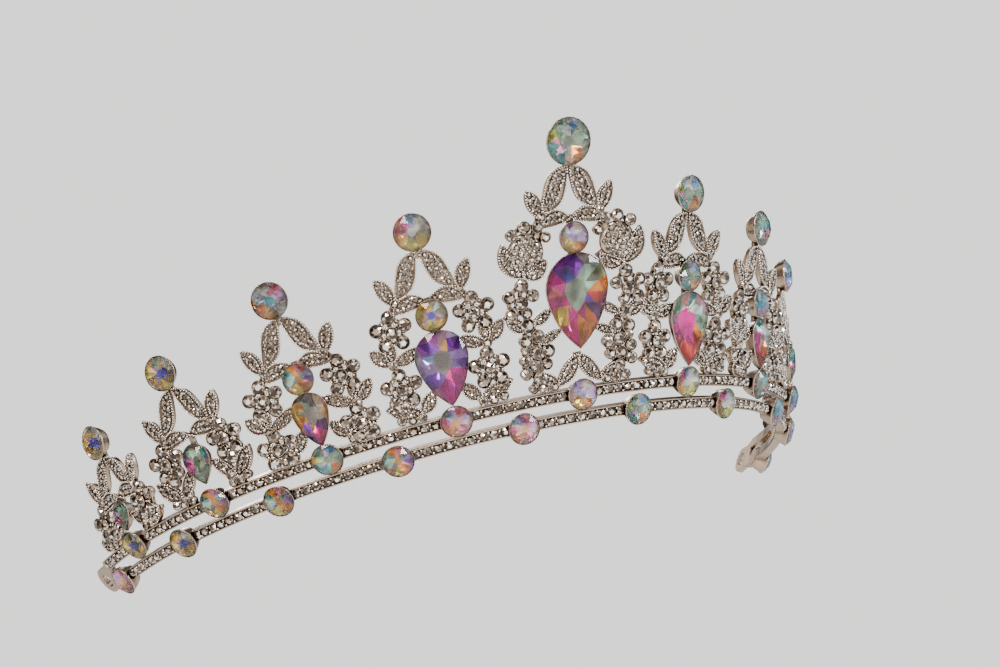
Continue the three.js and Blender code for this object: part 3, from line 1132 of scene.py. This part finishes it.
        profile = [
            (radius * 0.7, deep.back),
            (radius * 0.98, deep.edge),
            (radius, deep.floor - 0.1),
        ]
        profile += [(radius * k, level(radius * k)) for k in (0.95, 0.8, 0.6, 0.4, 0.2, 0.05)]
        self.bench.lathe(x, y, profile, sides=28)
        rows = int(radius / pitch) + 2
        steep = 2 * height / radius**2
        for row in range(-rows, rows + 1):
            for column in range(-rows, rows + 1):
                dx = (column + 0.5 * (row % 2)) * pitch
                dy = row * pitch * 0.87
                reach = math.hypot(dx, dy)
                if reach < radius - 0.35:
                    lean = (dx * steep, dy * steep)
                    self.stone(x + dx, y + dy, level(reach) + 0.08, size, lean)
                gx, gy = dx, dy + pitch * 0.58
                reach = math.hypot(gx, gy)
                if reach < radius - 0.2:
                    self.grain(x + gx, y + gy, level(reach) + 0.1, 0.21)
        self.anchors.append((Vector((x, y)), radius))

    def cups(self, side: int, places: list[tuple[float, float, float]]) -> None:
        """Small settings at a list of places, each (x, y, radius)."""
        for x, y, radius in places:
            self.cup(side * x, y, radius, lift=self.draw.uniform(-0.05, 0.2))

    def strut(self, start: Point, end: Point, width: float, deep: bool = False) -> None:
        """A plain round-edged bar between two motifs, which lies deep where they cover its ends."""
        a, b = Vector(start), Vector(end)
        along = (b - a).normalized() * (width / 2)
        across = Vector((-along.y, along.x))
        drop = 0.25 if deep else 0.0
        rings = []
        for inset, depth in ((0.35, -1.9), (0.0, -1.6), (0.0, -1.1 - drop), (0.3, -0.85 - drop)):
            k = 1 - inset
            corners = [a - along - across * k, b + along - across * k]
            corners += [b + along + across * k, a - along + across * k]
            rings.append([(c.x, c.y, depth) for c in corners])
        self.bench.loft(rings)

    def round_collet(self, height: float, radius: float, depth: float) -> None:
        """The setting of a round stone at a height up the seat's middle line."""
        sides = self.collet_sides
        self.collet(lambda inset: round_outline(0, height, radius - inset, sides), radius, depth)

    def collet(
        self, outline: Callable[[float], list[Point]], radius: float, depth: float
    ) -> None:
        """The metal setting round a large stone, narrower behind.

        Args:
            outline: Gives the stone's outline drawn in by a number of millimetres.
            radius: The stone's radius.
            depth: How far back the setting reaches.
        """
        lip = radius * StoneCut.girdle
        wall = [
            (radius * 0.34, depth),
            (radius * 0.28, depth + 0.3),
            (radius * 0.12, depth * 0.5),
            (radius * 0.02, -0.3),
            (-0.1, -0.08),
            (-0.14, lip * 0.5),
            (-0.08, lip + 0.06),
            (-0.01, lip * 0.6),
            (0.0, -0.12),
            (radius * 0.30, -radius * 0.34),
            (radius * 0.60, -radius * 0.44),
        ]
        self.bench.loft([[(*p, level) for p in outline(inset)] for inset, level in wall])


# ---- the tiara's assemblies ----------------------------------------------------------------------


@dataclass
class Finishes:
    """The materials that the assemblies share."""

    silver: bpy.types.Material
    bead: bpy.types.Material
    rhinestone: bpy.types.Material
    crystal: bpy.types.Material
    foil: bpy.types.Material


class Workshop:
    """What every assembly needs: the layout, the finishes, the setter and its shapes."""

    def __init__(self, layout: Layout) -> None:
        """Builds the shared finishes and shapes."""
        self.layout = layout
        self.finishes = Finishes(
            silver=PlatedSilver().build(),
            # The beads get a lighter copy of the plated metal: its brighter colours are a painted
            # highlight that makes the grains stand out, over the same painted shade in their
            # hollows.
            bead=PlatedSilver(
                "polished_bead_painted_highlight",
                bright=(0.95, 0.87, 0.78),
                dull_and_shade=(0.40, 0.31, 0.25),
                smooth=0.08,
                rough=0.2,
            ).build(),
            rhinestone=FoiledRhinestone().build(),
            crystal=AuroraCrystal().build(),
            foil=AuroraFoil().build(),
        )
        self.setter = Setter()
        self.bead = bead_shape()
        self.rhinestone = rhinestone_shape()

    def deliver(self, piece: bpy.types.Object, slot: Slot, *nodes: str) -> None:
        """Hands a piece over to the frame.

        Args:
            piece: The finished piece.
            slot: The record's slot for it; not used.
            nodes: The nodes that it stands for.
        """
        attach(piece, "root")
        if nodes:
            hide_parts(*nodes)
        log.info("%s: %d faces", piece.name, len(piece.data.polygons))

    def deliver_work(self, work: Jeweller, name: str, *nodes: str) -> None:
        """Finishes a jeweller's metal, beads and small stones and hands them over."""
        metal = work.bench.finish(name, self.finishes.silver)
        self.deliver(metal, Slot.SILVER, *nodes)
        beads = self.setter.place(f"{name}_beads", work.beads, self.bead, self.finishes.bead)
        self.deliver(beads, Slot.SILVER)
        stones = self.setter.place(
            f"{name}_rhinestones", work.stones, self.rhinestone, self.finishes.rhinestone
        )
        self.deliver(stones, Slot.SILVER)

    def deliver_stone(
        self, name: str, stone: LargeStone, palette: Palette, slot: Slot, seed: int
    ) -> None:
        """Builds a large stone and hands it over for its node."""
        bench = Bench()
        stone.build(bench.mesh, palette, random.Random(seed))
        piece = bench.finish(f"{name}_cut", self.finishes.crystal)
        piece.data.materials.append(self.finishes.foil)
        self.deliver(piece, slot, name)


class Panel:
    """One openwork panel with its stones."""

    top_palettes = (
        Palette.NIGHT,
        Palette.NIGHT,
        Palette.DUSK,
        Palette.DAWN,
        Palette.OPAL,
        Palette.OPAL,
        Palette.MOSS,
        Palette.LAGOON,
        Palette.LAGOON,
    )
    drop_palettes = (
        Palette.MOSS,
        Palette.MOSS,
        Palette.TOPAZ,
        Palette.AMETHYST,
        Palette.GRAND,
        Palette.ORCHID,
        Palette.ORCHID,
        Palette.MOSS,
        Palette.AMETHYST,
    )
    bud_palettes = (Palette.EMBER, Palette.NIGHT, Palette.FROST, Palette.OPAL, Palette.LAGOON)
    bud_radius = 3.0
    top_corners = 14
    drop_corners = 16
    bud_corners = 12
    setting_depth = -2.3
    bud_setting_depth = -2.2
    casting_seed = 100
    stone_seed = 500
    seed_step = 7

    def __init__(self, shop: Workshop, rank: int) -> None:
        """Takes the panel's sizes from its place."""
        self.shop = shop
        self.rank = rank
        self.sizes = PANELS[abs(rank)]
        layout = shop.layout
        self.seat = layout.seat(rank * layout.pitch_angle, math.radians(self.sizes.lean))

    def build(self) -> None:
        """Builds the casting and its stones."""
        work = Jeweller(self.casting_seed + self.rank)
        work.face(self.seat)
        self._spine(work)
        tall, low = self._tall_side, self._low_side
        pattern = (self._centre_side, tall, tall, low, low)[abs(self.rank)]
        for side in SIDES:
            self._crest(work, side)
            pattern(work, side)
        work.web()
        name = place_name(self.rank)
        self.shop.deliver_work(work, f"casting_{name}", f"panel_{name}")
        self._stones(name)

    def _spine(self, work: Jeweller) -> None:
        """The neck, and the settings of the large stones."""
        size = self.sizes
        drop = size.drop
        top = size.top_radius
        depth = self.setting_depth
        work.round_collet(size.top, top, depth)
        corners = 2 * self.drop_corners
        work.collet(lambda inset: drop_outline(drop, corners, inset), min(drop.radius, 4.5), depth)
        if size.bud:
            work.round_collet(size.bud, self.bud_radius, self.bud_setting_depth)
        work.strut((0, size.top - top * 0.8), (0, size.top - top - 0.9), 1.5)
        hanger = drop.head - 0.3
        if size.bud:
            work.strut((0, drop.head + 0.1), (0, hanger), 1.3)
            hanger = size.bud + self.bud_radius * 0.9
        work.strut((0, size.shoulder - 0.7), (0, hanger), 1.3)

    def _drop_edge(self, side: int, degrees: float) -> Point:
        """A place just inside the round of the drop's edge, at an angle above the level."""
        drop = self.sizes.drop
        reach = drop.radius * 0.86
        angle = math.radians(degrees)
        return side * reach * math.cos(angle), drop.head - drop.radius + reach * math.sin(angle)

    def _crest(self, work: Jeweller, side: int) -> None:
        """The falling leaf, the side leaf and the arch leaf of one side."""
        size = self.sizes
        peak = size.top - size.top_radius - 0.7
        shoulder = size.shoulder
        work.leaf(
            (side * 5.9, shoulder + 1.0),
            (side * 0.25, peak + 0.7),
            size.crest_leaf + 0.5,
            bend=side * 0.1,
            sway=side * 0.34,
        )
        work.leaf((side * 6.5, shoulder), (side * 9.1, shoulder + 5.8), 3.2, side * 0.3)
        work.leaf((side * 7.2, shoulder - 1.6), (side * -0.1, shoulder - 0.5), 3.3, side * -1.0)
        work.cup(side * 6.2, shoulder + 0.4, 0.9, lift=0.1)

    def _centre_side(self, work: Jeweller, side: int) -> None:
        """A lotus, two flowers below it and the leaves over the rail."""
        size = self.sizes
        work.dome(side * 9.7, 28.4, 3.7, 0.75)
        work.leaf((side * 10.4, 23.6), (side * 14.8, 30.8), 3.8, side * -1.0)
        work.leaf((side * 11.0, 24.0), (side * 5.4, 26.4), 2.9, side * 1.0)
        work.leaf((side * 9.0, 24.4), (side * 12.6, 27.4), 2.1, side * -0.4)
        work.cups(side, [(12.6, 32.0, 1.25), (9.9, 33.2, 1.3), (7.2, 33.0, 1.2), (5.6, 30.9, 1.1)])
        work.cups(side, [(11.1, 22.3, 1.4)])
        work.cups(side, [(11.4, 19.0, 1.4), (13.9, 20.4, 1.3), (8.9, 20.2, 1.3), (13.4, 17.2, 1.3)])
        work.cups(side, [(10.4, 17.0, 1.2), (10.4, 14.6, 1.5), (11.0, 11.7, 1.4), (8.4, 12.3, 1.4)])
        work.cups(side, [(6.4, 9.3, 1.4), (9.0, 9.4, 1.35), (9.0, 6.8, 1.3), (11.3, 7.9, 1.2)])
        work.cups(side, [(6.8, 6.8, 1.2), (11.2, 5.4, 1.25), (8.6, 4.4, 1.2), (11.0, 10.0, 1.0)])
        work.leaf((side * 10.4, 13.6), (side * 14.6, 16.8), 3.0, side * -0.3)
        work.leaf((side * 9.4, 14.4), (side * 5.2, 17.2), 2.3, side * 0.2)
        work.leaf((side * 8.6, 10.9), (side * 3.2, 13.0), 2.1, side * 0.2)
        work.leaf((side * 4.8, 2.0), (side * 0.1, 8.0), 3.2, side * 0.4)
        work.leaf((side * 4.2, 2.6), (side * 9.6, 5.0), 2.9, side * -0.2)
        work.cups(side, [(5.6, 2.2, 1.0), (7.7, 2.1, 1.05), (9.8, 2.4, 1.05)])
        work.strut((side * 6.4, size.shoulder), (side * 7.2, 31.6), 1.3)

    def _tall_side(self, work: Jeweller, side: int) -> None:
        """Flower, link, forked leaves, flower and the leaves over the rail."""
        size = self.sizes
        fork = size.fork
        lower = max(fork - 4.6, 5.2)
        work.flower(side, 8.0, size.shoulder - 4.6)
        work.leaf((side * 9.2, fork - 0.2), (side * 8.8, size.shoulder - 6.0), 2.5)
        work.leaf((side * 8.8, fork - 0.4), (side * 13.0, fork + 3.4), 3.0, side * -0.3)
        work.leaf((side * 9.2, fork - 0.4), self._drop_edge(side, 38), 2.8, side * 0.3)
        work.cup(side * 9.1, fork - 0.4, 1.0, lift=0.1)
        work.flower(side, 8.5, lower - 0.6)
        work.cups(side, [(5.9, 2.2, 0.95), (7.9, 2.1, 1.0), (9.9, 2.4, 1.0)])
        work.leaf((side * 6.0, 2.6), (side * 2.6, 6.7), 3.0, side * 0.2)
        work.leaf((side * 5.4, 3.0), (side * 12.2, 5.0), 3.1, side * -0.3)

    def _low_side(self, work: Jeweller, side: int) -> None:
        """One flower, with a cup leaf below it that opens outwards."""
        size = self.sizes
        bloom = size.shoulder - 3.3
        work.flower(side, 7.5, bloom - 0.6)
        work.cup(side * 7.4, (bloom + 2.4) / 2, 1.4)
        work.cup(side * 5.6, 3.6, 1.2)
        work.leaf((side * 6.4, 2.8), (side * 11.9, bloom - 3.2), 3.4, side * -0.4)
        work.leaf((side * 7.2, 2.8), self._drop_edge(side, -20), 2.8, side * 0.2)
        work.cups(side, [(5.2, 2.2, 0.9), (7.2, 2.1, 1.0), (9.1, 2.5, 0.95)])

    def _stones(self, name: str) -> None:
        """The panel's large stones."""
        size = self.sizes
        drop = size.drop
        seed = self.stone_seed + self.seed_step * self.rank
        at = self.rank + self.shop.layout.panels_per_side
        outline = round_outline(0, size.top, size.top_radius, self.top_corners)
        top = LargeStone(outline, size.top_radius, (0, size.top), self.seat)
        self.shop.deliver_stone(f"top_stone_{name}", top, self.top_palettes[at], Slot.CLEAR, seed)
        outline = drop_outline(drop, self.drop_corners)
        heart = (0, drop.head - drop.radius - (drop.head - drop.point) * 0.06)
        jewel = LargeStone(outline, min(drop.radius, 4.6), heart, self.seat, DROP_CUT)
        palette = self.drop_palettes[at]
        self.shop.deliver_stone(f"drop_stone_{name}", jewel, palette, Slot.VIOLET, seed + 1)
        if size.bud:
            outline = round_outline(0, size.bud, self.bud_radius, self.bud_corners)
            bud = LargeStone(outline, self.bud_radius, (0, size.bud), self.seat, SHALLOW_CUT)
            palette = self.bud_palettes[at - 2]
            self.shop.deliver_stone(f"bud_stone_{name}", bud, palette, Slot.CLEAR, seed + 2)


@dataclass
class Rail:
    """One rail: a channel bent to the arc, set with small stones and a few large ones."""

    shop: Workshop
    name: str
    height: float
    large: list[float]
    stone_names: list[str]
    palettes: tuple[Palette, ...]
    seed: int
    half_height: float = 1.15
    back: float = -2.65
    lip: float = -0.72
    floor: float = -1.15
    lip_width: float = 0.26
    steps: int = 150
    stone_radius: float = 3.0
    stone_corners: int = 12
    small_radius: float = 0.9
    small_pitch: float = 2.2
    end_margin: float = 0.012

    def build(self) -> None:
        """Builds the channel, its stones and their settings."""
        work = Jeweller(self.seed)
        self._channel(work)
        for angle in self.large:
            work.face(self.shop.layout.rail_seat(angle))
            work.round_collet(self.height, self.stone_radius, self.back - 0.1)
        self._small_stones(work)
        self.shop.deliver_work(work, f"{self.name}_channel", self.name)
        for i, (angle, node) in enumerate(zip(self.large, self.stone_names)):
            seat = self.shop.layout.rail_seat(angle)
            outline = round_outline(0, self.height, self.stone_radius, self.stone_corners)
            stone = LargeStone(outline, self.stone_radius, (0, self.height), seat, SHALLOW_CUT)
            self.shop.deliver_stone(node, stone, self.palettes[i], Slot.CLEAR, self.seed * 50 + i)

    def _section(self) -> list[Point]:
        """The channel's closed section, as heights and depths."""
        high, lip, width = self.half_height, self.lip, self.lip_width
        return [
            (-high + 0.2, self.back),
            (-high, self.back + 0.2),
            (-high, lip - 0.12),
            (-high + 0.08, lip),
            (-high + width, lip),
            (-high + width + 0.04, self.floor),
            (high - width - 0.04, self.floor),
            (high - width, lip),
            (high - 0.08, lip),
            (high, lip - 0.12),
            (high, self.back + 0.2),
            (high - 0.2, self.back),
        ]

    def _channel(self, work: Jeweller) -> None:
        """Sweeps the section round the arc."""
        layout = self.shop.layout
        section = self._section()
        mesh = work.bench.mesh
        loops = []
        for step in range(self.steps + 1):
            angle = layout.rail_end * (2 * step / self.steps - 1)
            seat = layout.rail_seat(angle)
            loops.append(
                [mesh.verts.new(seat @ Vector((0, self.height + up, out))) for up, out in section]
            )
        count = len(section)
        for near, far in zip(loops, loops[1:]):
            for i in range(count):
                j = (i + 1) % count
                mesh.faces.new((near[i], far[i], far[j], near[j]))
        mesh.faces.new(loops[0])
        mesh.faces.new(reversed(loops[-1]))

    def _small_stones(self, work: Jeweller) -> None:
        """Sets small stones along the channel, clear of the large ones, with beads between them."""
        layout = self.shop.layout
        radius = layout.ring_radius + self.height * math.sin(layout.rail_lean)
        clear = (self.stone_radius + self.small_radius * 0.6) / radius
        pitch = self.small_pitch / radius
        first, last = -layout.rail_end + self.end_margin, layout.rail_end - self.end_margin
        marks = [first - clear, *sorted(self.large), last + clear]
        for low, high in zip(marks, marks[1:]):
            room = high - low - 2 * clear
            count = max(0, math.floor(room / pitch) + 1)
            if room <= 0 or count == 0:
                continue
            start = (low + high) / 2 - (count - 1) * pitch / 2
            for k in range(count):
                angle = start + k * pitch
                work.face(layout.rail_seat(angle))
                work.stone(0, self.height, self.floor + 0.26, self.small_radius)
                if k < count - 1:
                    work.face(layout.rail_seat(angle + pitch / 2))
                    for way in SIDES:
                        work.grain(0, self.height + way * 0.56, self.floor + 0.42, 0.27)


class Terminal:
    """The plate at a rail's end, with its loop for a hair grip."""

    edge_width = 0.22
    edge_segments = 3
    edge_angle = math.radians(40)

    def __init__(self, shop: Workshop, side: int) -> None:
        """Takes the terminal's side, -1 for left."""
        self.shop = shop
        self.name = f"end_terminal_{'left' if side < 0 else 'right'}"

    def build(self, nodes: dict[str, bpy.types.Object]) -> None:
        """Rounds the edges of the frame's plate.

        Args:
            nodes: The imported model's objects by node name.
        """
        build = bmesh.new()
        build.from_mesh(nodes[self.name].data)
        bmesh.ops.remove_doubles(build, verts=build.verts, dist=1e-6)
        bmesh.ops.dissolve_limit(
            build, angle_limit=math.radians(1), verts=build.verts, edges=build.edges
        )
        data = bpy.data.meshes.new(f"{self.name}_plate")
        build.to_mesh(data)
        build.free()
        data.materials.clear()
        data.materials.append(self.shop.finishes.silver)
        piece = bpy.data.objects.new(f"{self.name}_plate", data)
        bpy.context.scene.collection.objects.link(piece)
        bevel = piece.modifiers.new("soft_edge", "BEVEL")
        bevel.width = self.edge_width * MM
        bevel.segments = self.edge_segments
        bevel.limit_method = "ANGLE"
        bevel.angle_limit = self.edge_angle
        self.shop.deliver(piece, Slot.SILVER, self.name)


# ---- the stage -----------------------------------------------------------------------------------


@dataclass(frozen=True)
class Viewpoint:
    """Where the camera stands: its bearing and rise from the tiara, its roll and its lens."""

    azimuth: float = math.radians(-24.8)
    elevation: float = math.radians(-14.3)
    roll: float = math.radians(-15.7)
    distance: float = 0.570
    lens: float = 99.1
    aim: Vector = field(default_factory=lambda: Vector((0.0, -0.030, 0.0244)))
    aside: float = 0.0076
    above: float = 0.0048

    def build(self, centre: Vector) -> None:
        """Creates the camera and makes it the scene's.

        Args:
            centre: The arc's centre, at the height of the upper rail's stones.
        """
        rise = math.cos(self.elevation)
        back = Vector(
            (
                math.sin(self.azimuth) * rise,
                -math.cos(self.azimuth) * rise,
                math.sin(self.elevation),
            )
        )
        level = Vector((0, 0, 1)).cross(back).normalized()
        upright = back.cross(level)
        right = math.cos(self.roll) * level + math.sin(self.roll) * upright
        up = math.cos(self.roll) * upright - math.sin(self.roll) * level
        target = centre + self.aim
        place = target + back * self.distance
        forward = (target + right * self.aside + up * self.above - place).normalized()
        right = forward.cross(up).normalized()
        up = right.cross(forward)
        data = bpy.data.cameras.new("camera")
        data.lens = self.lens
        data.sensor_width = 36.0
        data.clip_start = 0.01
        camera = bpy.data.objects.new("camera", data)
        turn = Matrix((right, up, -forward)).transposed().to_4x4()
        camera.matrix_world = Matrix.Translation(place) @ turn
        bpy.context.scene.collection.objects.link(camera)
        bpy.context.scene.camera = camera


@dataclass(frozen=True)
class Softbox:
    """One area light, aimed at the tiara."""

    name: str
    place: Spot
    width: float
    power: float
    colour: Colour = (1.0, 1.0, 1.0)
    aim_height: float = 0.02

    def build(self) -> None:
        """Creates the light."""
        data = bpy.data.lights.new(self.name, "AREA")
        data.shape = "RECTANGLE"
        data.size = self.width
        data.size_y = self.width * 0.7
        data.energy = self.power
        data.color = self.colour
        lamp = bpy.data.objects.new(self.name, data)
        lamp.location = self.place
        toward = Vector((0, 0, self.aim_height)) - lamp.location
        lamp.rotation_euler = toward.to_track_quat("-Z", "Y").to_euler()
        bpy.context.scene.collection.objects.link(lamp)


class Stage:
    """The floor, the pale surroundings and the studio lights."""

    floor_drop = 0.40
    floor_size = 60.0
    surrounds = {"seen": (1.5, 1.49, 1.47), "even": (0.95, 0.93, 0.90), "mirrored": (0.0, 0.0, 0.0)}
    patch_scale = 2.6
    warm = (1.9, 1.62, 1.34)
    cool = (1.62, 1.7, 1.76)
    lights = (
        Softbox("key", (-0.55, -0.75, 0.75), 0.38, 9.0, (1.0, 0.88, 0.74)),
        Softbox("fill", (0.85, -0.55, 0.25), 0.3, 5.0, (0.86, 0.94, 1.0)),
        Softbox("front", (0.15, -1.0, 0.35), 0.16, 3.0, (1.0, 0.95, 0.88)),
        Softbox("low_front", (-0.15, -0.9, -0.15), 0.12, 1.6),
        Softbox("side", (-0.95, -0.45, 0.1), 0.1, 2.0, (1.0, 0.85, 0.68)),
        Softbox("back", (0.25, 0.9, 0.7), 0.3, 2.0),
    )

    def build(self) -> None:
        """Builds the floor, the world and the lights."""
        for light in self.lights:
            light.build()
        self._floor()
        self._world()

    def _floor(self) -> None:
        """A wide pale sheet, set low because the tiara is seen from below."""
        half = self.floor_size / 2
        data = bpy.data.meshes.new("floor")
        turns = ((-1, -1), (1, -1), (1, 1), (-1, 1))
        corners = [(x * half, y * half, -self.floor_drop) for x, y in turns]
        data.from_pydata(corners, [], [(0, 1, 2, 3)])
        tree = NodeTree("pale_floor")
        noise = tree.add("ShaderNodeTexNoise", Scale=9.0, Detail=4.0)
        tree.link(tree.add("ShaderNodeTexCoord").outputs["Object"], noise.inputs["Vector"])
        shades = [(0.3, (0.86, 0.855, 0.85)), (0.7, (0.90, 0.895, 0.89))]
        colour = tree.ramp(noise.outputs["Fac"], shades)
        matte = tree.add("ShaderNodeBsdfPrincipled", Roughness=0.8)
        tree.link(colour, matte.inputs["Base Color"])
        data.materials.append(tree.surface(matte))
        floor = bpy.data.objects.new("floor", data)
        bpy.context.scene.collection.objects.link(floor)

    def _world(self) -> None:
        """Three surrounds: a pale one to look at, an even one to light by, and one to mirror.

        The mirrored one is dark with bright patches, warm on the left and cool on the right, so
        that the metal and the stones have contrast.
        """
        world = bpy.data.worlds.new("studio")
        world.use_nodes = True
        nodes, links = world.node_tree.nodes, world.node_tree.links
        nodes.clear()

        def add(kind: str) -> bpy.types.Node:
            """Adds a node to the world's tree."""
            return nodes.new(kind)

        backgrounds = {}
        for name, colour in self.surrounds.items():
            backgrounds[name] = add("ShaderNodeBackground")
            backgrounds[name].inputs["Color"].default_value = (*colour, 1.0)
        bearing = add("ShaderNodeNewGeometry")
        patches = add("ShaderNodeTexNoise")
        patches.inputs["Scale"].default_value = self.patch_scale
        patches.inputs["Detail"].default_value = 1.5
        panels = add("ShaderNodeMapRange")
        panels.inputs["From Min"].default_value = 0.51
        panels.inputs["From Max"].default_value = 0.62
        panels.inputs["To Min"].default_value = 0.02
        panels.inputs["To Max"].default_value = 1.0
        parts = add("ShaderNodeSeparateXYZ")
        sides = add("ShaderNodeMapRange")
        sides.inputs["From Min"].default_value = -0.7
        sides.inputs["From Max"].default_value = 0.7
        tint = add("ShaderNodeValToRGB")
        right, left = tint.color_ramp.elements
        right.color, left.color = (*self.cool, 1.0), (*self.warm, 1.0)
        lit = add("ShaderNodeVectorMath")
        lit.operation = "SCALE"
        links.new(bearing.outputs["Incoming"], patches.inputs["Vector"])
        links.new(patches.outputs["Fac"], panels.inputs["Value"])
        links.new(bearing.outputs["Incoming"], parts.inputs[0])
        links.new(parts.outputs["X"], sides.inputs["Value"])
        links.new(sides.outputs["Result"], tint.inputs["Fac"])
        links.new(tint.outputs["Color"], lit.inputs[0])
        links.new(panels.outputs["Result"], lit.inputs["Scale"])
        links.new(lit.outputs[0], backgrounds["mirrored"].inputs["Color"])
        path = add("ShaderNodeLightPath")
        inner, outer = add("ShaderNodeMixShader"), add("ShaderNodeMixShader")
        links.new(path.outputs["Is Diffuse Ray"], inner.inputs["Fac"])
        links.new(backgrounds["mirrored"].outputs[0], inner.inputs[1])
        links.new(backgrounds["even"].outputs[0], inner.inputs[2])
        links.new(path.outputs["Is Camera Ray"], outer.inputs["Fac"])
        links.new(inner.outputs[0], outer.inputs[1])
        links.new(backgrounds["seen"].outputs[0], outer.inputs[2])
        links.new(outer.outputs[0], add("ShaderNodeOutputWorld").inputs["Surface"])
        bpy.context.scene.world = world


# ---- assembly ------------------------------------------------------------------------------------


def main() -> None:
    """Builds the tiara around its frame, and the stage round it."""
    logging.basicConfig(level=logging.INFO, format="%(message)s")
    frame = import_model()
    layout = Layout()
    layout.find_centre(frame["nodes"])
    Viewpoint().build(layout.centre)
    Stage().build()
    shop = Workshop(layout)
    ranks, betweens = layout.ranks(), layout.betweens()
    upper = [f"upper_band_stone_{place_name(rank)}" for rank in ranks]
    lower = [f"lower_band_stone_{i + 1}" for i in range(len(betweens))]
    step = layout.pitch_angle
    Rail(
        shop, "upper_rail", 0.0, [rank * step for rank in ranks], upper, UPPER_PALETTES, seed=1
    ).build()
    Rail(
        shop,
        "lower_rail",
        -layout.rail_pitch,
        [rank * step for rank in betweens],
        lower,
        LOWER_PALETTES,
        seed=2,
    ).build()
    for rank in ranks:
        Panel(shop, rank).build()
    for side in SIDES:
        Terminal(shop, side).build(frame["nodes"])


if __name__ == "__main__":
    main()
